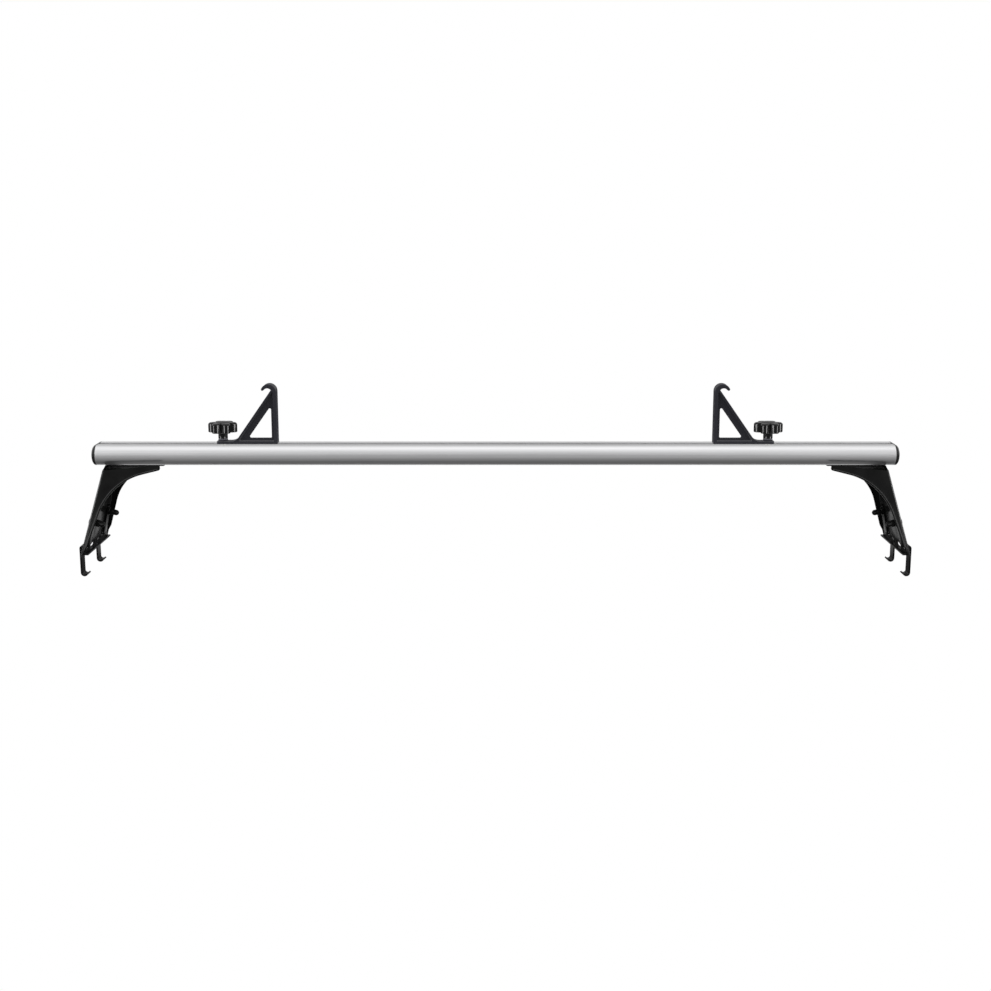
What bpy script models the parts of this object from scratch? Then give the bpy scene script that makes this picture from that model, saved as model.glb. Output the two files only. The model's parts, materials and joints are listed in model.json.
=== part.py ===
"""Truck-bed cargo bar: an aluminium crossbar on two gutter-hook legs, with two sliding ladder stops.

Metres, +Z up. X runs along the bar, the front of the object faces -Y, and the origin is on the
ground plane under the middle of the bar, level with the undersides of the gutter hooks.
Each side is modelled once, with x pointing outwards along the bar, and then mirrored.
"""

import math

import bmesh
import bpy
from mathutils import Matrix, Vector

MM = 0.001
GAP = 0.3 * MM

# Crossbar: a hollow extrusion with rounded noses and a T-slot above and below.
BAR_LENGTH = 1511.6 * MM
BAR_DEPTH = 76.2 * MM
BAR_HEIGHT = 38.1 * MM
WALL = 2.5 * MM
SLOT_MOUTH = 10.6 * MM
SLOT_CHANNEL = 21.0 * MM
SLOT_DEPTH = 9.0 * MM
NOSE_STEPS = 14
CAP_BULGE = 8.4 * MM
SPIGOT_LENGTH = 14 * MM
SPIGOT_PLAY = 0.4 * MM

# Legs: folded 3 mm sheet, measured from the top of the sloping web, in the bar's own height.
SHEET = 3 * MM
LEG_X = 740.5 * MM
ARM_LENGTH = 108.5 * MM
FLANGE_TOP = -15 * MM
WEB_TOP = -19.4 * MM
LEG_FOOT = Vector((37.9, -181.0)) * MM
LEG_HALF_WIDTH_TOP = 46 * MM
LEG_HALF_WIDTH_FOOT = 94.5 * MM
ARCH_CENTRE = Vector((-99.8, -141.3)) * MM
ARCH_FOLD_RADIUS = 115.5 * MM
ARCH_ANGLES = (76.5, 18.7)
RIM_WIDTH = 4.5 * MM
RIM_TURN = 4.5 * MM
RIM_TURN_START = -18 * MM
RIM_TURN_FOOT = 3 * MM
RIM_FALL = (-60 * MM, -110 * MM)
ARM_END_ROUND = 5 * MM
EDGE_TAIL = (Vector((20.3, -150.0)) * MM, Vector((23.6, -159.5)) * MM)
FOLD_TAIL = (Vector((25.1, -150.0)) * MM, Vector((30.5, -170.0)) * MM)
ARCH_STEPS = 14
LIP_WIDTH = 12.5 * MM
LIP_HALF_LENGTH = 81 * MM
FOOT_SLOT = (9 * MM, 36 * MM)
FOOT_SLOT_FROM_EDGE = (13 * MM, 4.5 * MM)
WEB_NOTCH = (25 * MM, 32 * MM)

# Saddle: a plate between the flanges, with a pad under the bar.
PAD_THICKNESS = 2 * MM
PAD_HALF_WIDTH = 20 * MM
PAD_OVERHANG = 2 * MM
PLATE_START = -80 * MM
SADDLE_END = -6 * MM
LEG_BOLTS_X = (-70 * MM, -28 * MM)

# Fasteners, all M8.
SHANK = 4.0 * MM
BOLT_HOLE = 4.5 * MM
BOLT_HEAD = Vector((16, 19.4, 5.5)) * MM
NUT_FLATS = 13 * MM
NUT_HEIGHT = 6.5 * MM
WASHER_THICKNESS = 1.6 * MM
WASHER_RADIUS = 7.5 * MM

# Gutter hooks: 3 mm strap, bent through a window in the leg's web.
STRAP = 3 * MM
STRAP_Y = (44.5 * MM, 68.5 * MM)
TAB_Y = (45 * MM, 66 * MM)
TAB_PLAY = 1.2 * MM
TONGUE_TIP_Y = 59 * MM
STRAP_FACE_X = 45.3 * MM
BEND_RADIUS = 4 * MM
TONGUE_START = 93 * MM
TONGUE_END = 148.5 * MM
HOOK_TRAVEL = 3 * MM
HOOK_WINDOW = (0.3 * MM, 9 * MM)
HOOK_BOLT_Y = 52 * MM
HOOK_BOLT_S = 106 * MM
CAP_NUT_FLATS = 12 * MM
CAP_NUT_HEIGHT = 8 * MM
HOOK_WASHER_THICKNESS = 2 * MM
HOOK_CURL_RADIUS = 5.6 * MM
HOOK_LIP_LENGTH = 1.5 * MM
HOOK_DEPTH = 225 * MM

# Ladder stops: x runs outwards from the upright inner face, z up from the bar's top.
STOP_X = 414.4 * MM
STOP_LENGTH = 116.1 * MM
STOP_HALF_DEPTH = 12 * MM
STOP_BASE = 5.2 * MM
STOP_RIM = 3.6 * MM
STOP_UPRIGHT = 6.3 * MM
STOP_END_ROUND = 7 * MM
SLOPE_TOP = Vector((9.63, 103.6)) * MM
SLOPE_FOOT = Vector((79.34, 5.2)) * MM
SLOPE_FILLET = 20 * MM
STOP_WEB = 2.6 * MM
KNOB_X = 104.7 * MM
BOSS_RADIUS = 9.2 * MM
BOSS_TOP = 8 * MM
KEY_HEIGHT = 2.2 * MM
KEY_HALF_WIDTH = 4.9 * MM

# Star knobs, heights above the bar's top.
KNOB_RADIUS = 27.5 * MM
KNOB_SCALLOP = 13.5 * MM
KNOB_LOBES = 6
HUB_RADIUS = 8.9 * MM
KNOB_WASHER_TOP = 9.6 * MM
KNOB_WASHER_RADIUS = 9 * MM
KNOB_BORE = 6.3 * MM
KNOB_BORE_TOP = 36.5 * MM

BAR_TOP = BAR_HEIGHT / 2
NOSE_RADIUS = BAR_HEIGHT / 2
BAR_FLAT = BAR_DEPTH / 2 - NOSE_RADIUS
DOWN = Vector((LEG_FOOT.x, LEG_FOOT.y - WEB_TOP)).normalized()
OUT = Vector((-DOWN.y, DOWN.x))


def clear_scene():
    for obj in list(bpy.data.objects):
        bpy.data.objects.remove(obj, do_unlink=True)


def material(name, colour, roughness, metallic):
    made = bpy.data.materials.new(name)
    made.use_nodes = True
    shader = made.node_tree.nodes["Principled BSDF"]
    shader.inputs["Base Color"].default_value = (*colour, 1)
    shader.inputs["Roughness"].default_value = roughness
    shader.inputs["Metallic"].default_value = metallic
    return made


def empty(name, location, parent=None):
    made = bpy.data.objects.new(name, None)
    made.location = location
    made.parent = parent
    bpy.context.collection.objects.link(made)
    return made


def add_object(name, bm, look, parent, side=1, end=1, recalculate=True):
    """Turns bm into an object; side -1 mirrors it in X and end -1 mirrors it in Y."""
    if recalculate:
        bmesh.ops.recalc_face_normals(bm, faces=bm.faces[:])
    for vertex in bm.verts:
        vertex.co.x *= side
        vertex.co.y *= end
    if side * end < 0:
        bmesh.ops.reverse_faces(bm, faces=bm.faces[:])
    mesh = bpy.data.meshes.new(name)
    bm.to_mesh(mesh)
    bm.free()
    mesh.materials.append(look)
    mesh.shade_smooth()
    mesh.set_sharp_from_angle(angle=math.radians(35))
    made = bpy.data.objects.new(name, mesh)
    made.parent = parent
    bpy.context.collection.objects.link(made)
    return made


def cut(target, cutter):
    """Takes the cutter's shape away from the target and hides the cutter."""
    modifier = target.modifiers.new("cut_" + cutter.name, "BOOLEAN")
    modifier.operation = "DIFFERENCE"
    modifier.solver = "EXACT"
    modifier.object = cutter
    cutter.hide_render = True
    cutter.display_type = "WIRE"


def arc(centre, radius, start, stop, steps):
    """Points round a centre, from one angle in degrees to another."""
    angles = [math.radians(start + (stop - start) * i / steps) for i in range(steps + 1)]
    return [Vector((centre[0] + radius * math.cos(a), centre[1] + radius * math.sin(a))) for a in angles]


def rounded(corners, steps=3):
    """An outline through corners (x, z, radius), each rounded to its radius."""
    points = []
    for i, (x, z, radius) in enumerate(corners):
        here = Vector((x, z))
        back = (Vector(corners[i - 1][:2]) - here).normalized()
        on = (Vector(corners[(i + 1) % len(corners)][:2]) - here).normalized()
        if radius == 0:
            points.append(here)
            continue
        half = back.angle(on) / 2
        centre = here + (back + on).normalized() * radius / math.sin(half)
        first = here + back * radius / math.tan(half) - centre
        last = here + on * radius / math.tan(half) - centre
        turn = last.angle_signed(first)
        for k in range(steps + 1):
            points.append(centre + Matrix.Rotation(turn * k / steps, 2) @ first)
    return points


def filled(bm, loops):
    """Fills the first loop of 3D points, leaving the others as holes."""
    edges = []
    for loop in loops:
        vertices = [bm.verts.new(point) for point in loop]
        edges += [bm.edges.new((vertices[i - 1], vertices[i])) for i in range(len(vertices))]
    return bmesh.ops.triangle_fill(bm, use_beauty=True, edges=edges)


def extruded(loops, along):
    """A solid from flat loops of 3D points, the first being the outside, pushed along a vector."""
    bm = bmesh.new()
    filled(bm, loops)
    pushed = bmesh.ops.extrude_face_region(bm, geom=bm.faces[:])
    moved = [item for item in pushed["geom"] if isinstance(item, bmesh.types.BMVert)]
    bmesh.ops.translate(bm, verts=moved, vec=along)
    return bm


def slab(outlines, low, high):
    """Outlines in X and Z, pushed along Y from low to high."""
    loops = [[Vector((p[0], low, p[1])) for p in outline] for outline in outlines]
    return extruded(loops, Vector((0, high - low, 0)))


def turned(rows, sides, start=(0, 0, 0), axis=(0, 0, 1), closed=False):
    """A solid turned about an axis. Each row is (radius, height); radius may be a function of angle."""
    bm = bmesh.new()
    place = Vector((0, 0, 1)).rotation_difference(Vector(axis)).to_matrix()
    rings = []
    for radius, height in rows:
        if radius == 0:
            rings.append([bm.verts.new(place @ Vector((0, 0, height)) + Vector(start))])
            continue
        ring = []
        for i in range(sides):
            angle = math.tau * i / sides
            reach = radius(angle) if callable(radius) else radius
            point = Vector((reach * math.cos(angle), reach * math.sin(angle), height))
            ring.append(bm.verts.new(place @ point + Vector(start)))
        rings.append(ring)
    pairs = list(zip(rings, rings[1:]))
    if closed:
        pairs.append((rings[-1], rings[0]))
    for one, other in pairs:
        for i in range(sides):
            corners = [one[i % len(one)], one[(i + 1) % len(one)]]
            corners += [other[(i + 1) % len(other)], other[i % len(other)]]
            bm.faces.new(list(dict.fromkeys(corners)))
    return bm


def hexagon(flats):
    """The radius of a hexagon with this width across flats, as a function of angle."""
    return lambda angle: flats / 2 / math.cos((angle % (math.pi / 3)) - math.pi / 6)


def ring(inner, outer, low, high):
    return [(inner, low), (outer, low), (outer, high), (inner, high)]


def box(low, high):
    bm = bmesh.new()
    bmesh.ops.create_cube(bm, size=1)
    size = Vector(high) - Vector(low)
    bmesh.ops.scale(bm, verts=bm.verts, vec=size)
    bmesh.ops.translate(bm, verts=bm.verts, vec=(Vector(low) + Vector(high)) / 2)
    return bm


def tee_slot():
    """Half-outline of the upper T-slot, from the rear lip to the front lip."""
    mouth = SLOT_MOUTH / 2
    channel = SLOT_CHANNEL / 2
    under_lip = BAR_TOP - WALL
    floor = under_lip - SLOT_DEPTH
    rear = [(mouth, BAR_TOP), (mouth, under_lip), (channel, under_lip), (channel, floor)]
    return rear + [(-y, z) for y, z in reversed(rear)]


def side_hollow(shrink):
    """The D-shaped hollow in the rear nose, shrunk for a spigot that plugs it."""
    wall = SLOT_CHANNEL / 2 + WALL + shrink
    radius = NOSE_RADIUS - WALL - shrink
    nose = arc((BAR_FLAT, 0), radius, -90, 90, NOSE_STEPS)
    return [Vector((wall, -radius))] + nose + [Vector((wall, radius))]


def make_crossbar(look, parent):
    slot = tee_slot()
    section = arc((BAR_FLAT, 0), NOSE_RADIUS, -90, 90, NOSE_STEPS) + slot
    section += arc((-BAR_FLAT, 0), NOSE_RADIUS, 90, 270, NOSE_STEPS) + [(-y, -z) for y, z in slot]
    half_middle = SLOT_CHANNEL / 2
    middle_top = slot[3][1] - WALL
    middle = [(half_middle, -middle_top), (half_middle, middle_top)]
    middle += [(-half_middle, middle_top), (-half_middle, -middle_top)]
    rear = side_hollow(0)
    front = [(-y, -z) for y, z in rear]
    loops = [[Vector((-BAR_LENGTH / 2, y, z)) for y, z in loop] for loop in (section, middle, rear, front)]
    add_object("crossbar", extruded(loops, Vector((BAR_LENGTH, 0, 0))), look, parent)


def make_end_cap(name, side, look, parent):
    """A domed cover with a spigot in each side hollow of the bar."""
    end = BAR_LENGTH / 2
    bm = bmesh.new()
    rows = [(GAP, 0), (3.2 * MM, 0), (5.6 * MM, 1.2 * MM), (7.4 * MM, 3.8 * MM), (CAP_BULGE, 8.5 * MM)]
    rings = []
    for offset, inset in rows:
        outline = arc((BAR_FLAT, 0), NOSE_RADIUS - inset, -90, 90, NOSE_STEPS)
        outline += arc((-BAR_FLAT, 0), NOSE_RADIUS - inset, 90, 270, NOSE_STEPS)
        rings.append([bm.verts.new((end + offset, y, z)) for y, z in outline])
    for one, other in zip(rings, rings[1:]):
        for i in range(len(one)):
            bm.faces.new((one[i - 1], one[i], other[i], other[i - 1]))
    bm.faces.new(rings[0])
    bm.faces.new(rings[-1])
    cap = add_object(name, bm, look, parent, side)
    start = end - SPIGOT_LENGTH
    for place, turn in (("rear", 1), ("front", -1)):
        loop = [Vector((start, turn * y, turn * z)) for y, z in side_hollow(SPIGOT_PLAY)]
        reach = Vector((SPIGOT_LENGTH + 1.5 * MM, 0, 0))
        spigot = add_object(name + "_spigot_" + place, extruded([loop], reach), look, parent, side)
        cut(cap, spigot)
        cap.modifiers[-1].operation = "UNION"


def half_width(z):
    """The leg's half-width at a height below the bar's axis."""
    share = (WEB_TOP - z) / (WEB_TOP - LEG_FOOT.y)
    return LEG_HALF_WIDTH_TOP + share * (LEG_HALF_WIDTH_FOOT - LEG_HALF_WIDTH_TOP)


def web_point(along, y, inset=0.0):
    """A point of the leg's web: along its slope, across it, and inset from its outer face."""
    flat = Vector((0, WEB_TOP)) + DOWN * along - OUT * inset
    return Vector((flat.x, y, flat.y))


def rim_turn(z):
    """How far the rim turns inwards: most at the arm's inner end, less at the foot, none beside the bar."""
    start = min(1, max(0, (RIM_TURN_START - z) / RIM_TURN))
    fall = min(1, max(0, (z - RIM_FALL[0]) / (RIM_FALL[1] - RIM_FALL[0])))
    return start * (RIM_TURN + fall * (RIM_TURN_FOOT - RIM_TURN))


def arm_end(corner, radius):
    """The rounded lower corner of the arm's inner end, on to the line that leads into the arch."""
    slant = math.radians(90 - ARCH_ANGLES[0])
    drop = math.tan(slant) * radius
    centre = Vector((corner.x + radius, corner.y - drop + radius / math.cos(slant)))
    return arc(centre, radius, 180, 180 + ARCH_ANGLES[0], 3)


def arch_lines():
    """The leg's fold line and its free edge, from the arm's inner end to the foot."""
    lines = []
    for inset, tail in ((RIM_WIDTH, FOLD_TAIL), (0, EDGE_TAIL)):
        radius = ARCH_FOLD_RADIUS - RIM_WIDTH + inset
        curve = arc(ARCH_CENTRE, radius, *ARCH_ANGLES, ARCH_STEPS)
        x = inset - ARM_LENGTH
        rise = (curve[0].x - x) * math.tan(math.radians(90 - ARCH_ANGLES[0]))
        end = arm_end(Vector((x, curve[0].y + rise)), ARM_END_ROUND - inset / 2)
        lines.append([Vector((x, FLANGE_TOP))] + end + curve + list(tail))
    return lines


def capsule(start, stop, radius, y, steps=6):
    """A slot's outline on the web, from one distance along the slope to another."""
    lower = arc((y, stop), radius, 0, 180, steps)
    upper = arc((y, start), radius, 180, 360, steps)
    return [web_point(along, across) for across, along in lower + upper]


def window(y_low, y_high, start, stop, radius):
    corners = [(y_low, start), (y_high, start), (y_high, stop), (y_low, stop)]
    outline = rounded([(y, along, radius) for y, along in corners])
    return [web_point(along, across) for across, along in outline]


def make_leg(name, side, look, parent):
    """One folded sheet: sloping web, two flanges with a turned arch rim, and a lip along the foot."""
    bm = bmesh.new()
    fold, edge = arch_lines()
    foot_along = (Vector((0, WEB_TOP)) - LEG_FOOT).length
    top = (FLANGE_TOP - WEB_TOP) * DOWN.x / DOWN.y
    web = []
    for sign, order in ((-1, 1), (1, -1)):
        half = [
            Vector((top, sign * half_width(FLANGE_TOP), FLANGE_TOP)),
            Vector((LEG_FOOT.x, sign * half_width(LEG_FOOT.y), LEG_FOOT.y)),
            Vector((LEG_FOOT.x, sign * LIP_HALF_LENGTH, LEG_FOOT.y)),
        ]
        notch = [
            Vector((0, sign * WEB_NOTCH[0], WEB_TOP)),
            Vector((top, sign * WEB_NOTCH[1], FLANGE_TOP)),
        ]
        web += (notch + half)[::order]
    slot_start, slot_stop = (foot_along - distance for distance in FOOT_SLOT_FROM_EDGE)
    window_start, window_stop = (TONGUE_END + distance for distance in HOOK_WINDOW)
    holes = []
    for end in (-1, 1):
        y_low, y_high = sorted(end * y for y in FOOT_SLOT)
        holes.append(window(y_low, y_high, slot_start, slot_stop, 2 * MM))
        y_low, y_high = sorted((end * (TAB_Y[0] - TAB_PLAY), end * (TAB_Y[1] + TAB_PLAY)))
        holes.append(window(y_low, y_high, window_start, window_stop, 1 * MM))
        holes.append(capsule(HOOK_BOLT_S, HOOK_BOLT_S + HOOK_TRAVEL, BOLT_HOLE, end * HOOK_BOLT_Y))
    filled(bm, [web] + holes)
    for sign in (-1, 1):
        outline = [Vector((top, FLANGE_TOP)), LEG_FOOT] + fold[::-1]
        bm.faces.new([bm.verts.new((p.x, sign * half_width(p.y), p.y)) for p in outline])
        rows = []
        for inner, outer in zip(fold, edge):
            on_fold = bm.verts.new((inner.x, sign * half_width(inner.y), inner.y))
            on_edge = bm.verts.new((outer.x, sign * (half_width(outer.y) - rim_turn(outer.y)), outer.y))
            rows.append((on_fold, on_edge))
        for one, other in zip(rows, rows[1:]):
            bm.faces.new((one[0], one[1], other[1], other[0]))
    lip_low = Vector((LEG_FOOT.x - LIP_WIDTH, -LIP_HALF_LENGTH))
    lip_high = Vector((LEG_FOOT.x, LIP_HALF_LENGTH))
    lip = [(lip_high.x, lip_low.y), lip_low, (lip_low.x, lip_high.y), lip_high]
    bm.faces.new([bm.verts.new((x, y, LEG_FOOT.y)) for x, y in lip])
    bmesh.ops.remove_doubles(bm, verts=bm.verts[:], dist=0.00001)
    bmesh.ops.recalc_face_normals(bm, faces=bm.faces[:])
    web_face = max(bm.faces, key=lambda face: abs(face.normal.x))
    if web_face.normal.x < 0:
        bmesh.ops.reverse_faces(bm, faces=bm.faces[:])
    leg = add_object(name, bm, look, parent, side, recalculate=False)
    solidify = leg.modifiers.new("sheet", "SOLIDIFY")
    solidify.thickness = SHEET
    solidify.offset = -1
    solidify.use_even_offset = True
    solidify.use_quality_normals = True


def make_saddle(name, side, looks, parent):
    """The plate between the flanges and the pad between it and the bar."""
    plate_top = -BAR_TOP - 2 * GAP - PAD_THICKNESS
    plate_low = plate_top - SHEET
    half = half_width(plate_top) - SHEET - MM
    layers = (
        ("saddle_plate_", PLATE_START, half, plate_low, plate_top, looks["steel_black"]),
        ("saddle_pad_", -ARM_LENGTH - PAD_OVERHANG, PAD_HALF_WIDTH, plate_top + GAP,
         plate_top + GAP + PAD_THICKNESS, looks["rubber"]),
    )
    for kind, inner_end, half_y, low, high, look in layers:
        corners = [(inner_end, -half_y), (SADDLE_END, -half_y), (SADDLE_END, half_y), (inner_end, half_y)]
        loops = [rounded([(x, y, 3 * MM) for x, y in corners])]
        loops += [arc((x, 0), BOLT_HOLE, 0, 330, 11) for x in LEG_BOLTS_X]
        loops = [[Vector((p.x, p.y, low)) for p in loop] for loop in loops]
        add_object(kind + name, extruded(loops, Vector((0, 0, high - low))), look, parent, side)
    return plate_low


def tee_bolt(x, neck, head_end, shank_end):
    """A T-bolt: an oblong head from head_end to the neck, and a round shank on to shank_end."""
    steps = 12
    bm = bmesh.new()
    signs = [(-1, -1), (1, -1), (1, 1), (-1, 1)]
    corners = [(x + BOLT_HEAD.x / 2 * a, BOLT_HEAD.y / 2 * b) for a, b in signs]
    top, shoulder = [[bm.verts.new((*corner, z)) for corner in corners] for z in (head_end, neck)]
    circle = arc((x, 0), SHANK, 0, 360 - 360 / steps, steps - 1)
    root, tip = [[bm.verts.new((p.x, p.y, z)) for p in circle] for z in (neck, shank_end)]
    bm.faces.new(top)
    bm.faces.new(tip)
    for one, other in ((top, shoulder), (root, tip)):
        for i in range(len(one)):
            bm.faces.new((one[i - 1], one[i], other[i], other[i - 1]))
    edges = [bm.edges.get((loop[i - 1], loop[i])) for loop in (shoulder, root) for i in range(len(loop))]
    bmesh.ops.triangle_fill(bm, use_beauty=True, edges=edges)
    return bm


def make_leg_fasteners(name, side, looks, parent, plate_low):
    """Two T-bolts in the bar's lower slot, each with a washer and a nut under the saddle."""
    under_lip = -(BAR_TOP - WALL) + GAP
    washer_low = plate_low - GAP - WASHER_THICKNESS
    nut_low = washer_low - GAP - NUT_HEIGHT
    zinc = looks["steel_zinc"]
    for place, x in zip(("inner_", "outer_"), LEG_BOLTS_X):
        bolt = tee_bolt(x, under_lip, under_lip + BOLT_HEAD.z, nut_low - 2 * MM)
        add_object("leg_tbolt_" + place + name, bolt, zinc, parent, side)
        rows = ring(BOLT_HOLE, WASHER_RADIUS, washer_low, washer_low + WASHER_THICKNESS)
        washer = turned(rows, 20, (x, 0, 0), closed=True)
        add_object("leg_washer_" + place + name, washer, zinc, parent, side)
        rows = ring(SHANK + GAP, hexagon(NUT_FLATS), nut_low, nut_low + NUT_HEIGHT)
        add_object("leg_nut_" + place + name, turned(rows, 12, (x, 0, 0), closed=True), zinc, parent, side)


def strap_path():
    """The strap's centre line below its tongue, as (x, z, is_wide) from the tongue to the hook's lip."""
    inset = SHEET + GAP + STRAP / 2
    start = Vector((0, WEB_TOP)) + DOWN * TONGUE_END - OUT * inset
    first_centre = start + OUT * BEND_RADIUS
    web_angle = math.degrees(math.atan2(-OUT.y, -OUT.x))
    path = [(p, False) for p in arc(first_centre, BEND_RADIUS, web_angle, web_angle + 90, 4)]
    after = first_centre + DOWN * BEND_RADIUS
    centre_x = STRAP_FACE_X - STRAP / 2 - BEND_RADIUS
    crossing = (centre_x - after.x - DOWN.x * BEND_RADIUS) / OUT.x
    bend_start = after + OUT * crossing
    step = after + OUT * (crossing * 0.75)
    path += [(step, False), (step, True), (bend_start, True)]
    second_centre = bend_start + DOWN * BEND_RADIUS
    up_angle = math.degrees(math.atan2(-DOWN.y, -DOWN.x))
    path += [(p, True) for p in arc(second_centre, BEND_RADIUS, up_angle, 0, 5)[1:]]
    curl_z = HOOK_CURL_RADIUS + STRAP / 2 - HOOK_DEPTH
    curl = Vector((STRAP_FACE_X - STRAP / 2 - HOOK_CURL_RADIUS, curl_z))
    path += [(p, True) for p in arc(curl, HOOK_CURL_RADIUS, 0, -135, 8)]
    path.append((path[-1][0] + Vector((-1, 1)).normalized() * HOOK_LIP_LENGTH, True))
    return path


def make_gutter_hook(name, side, end, looks, parent):
    """A strap with a tapered tongue inside the leg, a bend through the web and a curled hook."""
    bm = bmesh.new()
    inset = SHEET + GAP + STRAP / 2
    tongue = rounded([
        (TAB_Y[0], TONGUE_START, 4 * MM), (TONGUE_TIP_Y, TONGUE_START, 4 * MM),
        (TAB_Y[1], TONGUE_END, 0), (TAB_Y[0], TONGUE_END, 0),
    ])
    hole = arc((HOOK_BOLT_Y, HOOK_BOLT_S), BOLT_HOLE, 0, 330, 11)
    filled(bm, [[web_point(along, y, inset) for y, along in loop] for loop in (tongue, hole)])
    rows = []
    for point, wide in strap_path():
        across = (STRAP_Y[0], *TAB_Y, STRAP_Y[1]) if wide else TAB_Y
        rows.append([bm.verts.new((point.x, y, point.y)) for y in across])
    for one, other in zip(rows, rows[1:]):
        if len(one) != len(other):
            continue
        for i in range(len(one) - 1):
            bm.faces.new((one[i], one[i + 1], other[i + 1], other[i]))
    bmesh.ops.remove_doubles(bm, verts=bm.verts[:], dist=0.00001)
    bmesh.ops.recalc_face_normals(bm, faces=bm.faces[:])
    hook = add_object("gutter_hook_" + name, bm, looks["steel_black"], parent, side, end, recalculate=False)
    solidify = hook.modifiers.new("strap", "SOLIDIFY")
    solidify.thickness = STRAP
    solidify.offset = 0
    solidify.use_even_offset = True
    solidify.use_quality_normals = True


def make_hook_fasteners(name, side, end, looks, parent):
    """A carriage bolt through the web and tongue, with a washer and a cap nut inside the leg."""
    start = web_point(HOOK_BOLT_S, HOOK_BOLT_Y)
    axis = (-OUT.x, 0, -OUT.y)
    washer_low = SHEET + STRAP + 2 * GAP
    washer_high = washer_low + HOOK_WASHER_THICKNESS
    nut_low = washer_high + GAP
    nut_high = nut_low + CAP_NUT_HEIGHT
    bolt = [
        (0, -4.6 * MM), (4 * MM, -4.2 * MM), (7.2 * MM, -2.8 * MM), (8.8 * MM, -GAP), (SHANK, -GAP),
        (SHANK, nut_high), (0, nut_high),
    ]
    parts = (
        ("hook_bolt_", turned(bolt, 16, start, axis)),
        ("hook_washer_", turned(ring(BOLT_HOLE, WASHER_RADIUS, washer_low, washer_high), 20, start, axis,
                                closed=True)),
        ("hook_cap_nut_", turned([
            (0, nut_high + GAP), (SHANK + GAP, nut_high + GAP), (SHANK + GAP, nut_low),
            (hexagon(CAP_NUT_FLATS), nut_low), (hexagon(CAP_NUT_FLATS), nut_high), (5.6 * MM, nut_high),
            (5.4 * MM, nut_high + 5 * MM), (3.4 * MM, nut_high + 8.4 * MM), (0, nut_high + 9.5 * MM),
        ], 24, start, axis)),
    )
    for kind, bm in parts:
        add_object(kind + name, bm, looks["steel_black"], parent, side, end)


def stop_outline():
    """The ladder stop's side view: a base, a sloping outer edge and a hook that opens outwards."""
    base = rounded([
        (0, GAP, 0), (STOP_LENGTH, GAP, 0), (STOP_LENGTH, STOP_BASE, MM),
        (*SLOPE_FOOT, SLOPE_FILLET), (*SLOPE_TOP, 0),
    ], 5)
    throat = arc(Vector((16.6, 97.9)) * MM, 8.83 * MM, 140.7, 36.6, 8)
    tip = arc(Vector((25.7, 104.65)) * MM, 2.5 * MM, 216.6, 383.4, 6)
    crown = arc(Vector((14.6, 99.85)) * MM, 14.6 * MM, 23.4, 180, 10)
    return base[:-1] + throat + tip[1:] + crown[1:]


def stop_window():
    return rounded([(11.6 * MM, 10.95 * MM, 2.5 * MM), (55.9 * MM, 10.95 * MM, 2.5 * MM),
                    (11.6 * MM, 72.9 * MM, 2.5 * MM)])


def stop_pocket():
    """The recess between the upright, the base and the rim along the slope."""
    slope = (SLOPE_FOOT - SLOPE_TOP).normalized()
    inward = Vector((slope.y, -slope.x))
    inner_top = SLOPE_TOP + inward * STOP_RIM
    low = STOP_BASE + 0.6 * MM
    foot_x = inner_top.x + (inner_top.y - low) * -slope.x / slope.y
    top_z = inner_top.y + (STOP_UPRIGHT - inner_top.x) * slope.y / slope.x
    return rounded([(STOP_UPRIGHT, low, MM), (foot_x, low, MM), (STOP_UPRIGHT, top_z, MM)], 2)


def make_ladder_stop(name, side, looks, parent):
    """A cast stop with a raised rim round its thin web, a boss, and a key that runs in the bar's slot."""
    casting = looks["casting"]
    bm = slab([stop_outline(), stop_window()], -STOP_HALF_DEPTH, STOP_HALF_DEPTH)
    stop = add_object("ladder_stop_" + name, bm, casting, parent, side)
    for place, low, high in (("front", -20 * MM, -STOP_WEB), ("rear", STOP_WEB, 20 * MM)):
        pocket = slab([stop_pocket()], low, high)
        cut(stop, add_object("pocket_" + place + "_" + name, pocket, casting, parent, side))
    for place, end in (("front", -1), ("rear", 1)):
        x, y = STOP_LENGTH - STOP_END_ROUND, STOP_HALF_DEPTH - STOP_END_ROUND
        corner = arc((x, y), STOP_END_ROUND, 0, 90, 5)
        corner += [Vector((x, 15 * MM)), Vector((x + 15 * MM, 15 * MM)), Vector((x + 15 * MM, y))]
        loop = [Vector((p.x, end * p.y, -MM)) for p in corner]
        off = extruded([loop], Vector((0, 0, STOP_BASE + 2 * MM)))
        cut(stop, add_object("stop_corner_" + place + "_" + name, off, casting, parent, side))
    boss = turned([(0, MM), (BOSS_RADIUS, MM), (BOSS_RADIUS, BOSS_TOP), (0, BOSS_TOP)], 32, (KNOB_X, 0, 0))
    cut(stop, add_object("stop_boss_" + name, boss, casting, parent, side))
    stop.modifiers[-1].operation = "UNION"
    rows = [(0, -20 * MM), (BOLT_HOLE, -20 * MM), (BOLT_HOLE, 20 * MM), (0, 20 * MM)]
    bore = turned(rows, 16, (KNOB_X, 0, 0))
    cut(stop, add_object("stop_bore_" + name, bore, casting, parent, side))
    key = box((6 * MM, -KEY_HALF_WIDTH, -KEY_HEIGHT), (KNOB_X - 12 * MM, KEY_HALF_WIDTH, 2 * MM))
    cut(stop, add_object("stop_key_" + name, key, casting, parent, side))
    stop.modifiers[-1].operation = "UNION"
    neck = -WALL - GAP
    bolt = tee_bolt(KNOB_X, neck, neck - BOLT_HEAD.z, 33 * MM)
    add_object("stop_tbolt_" + name, bolt, looks["steel_zinc"], parent, side)


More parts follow.
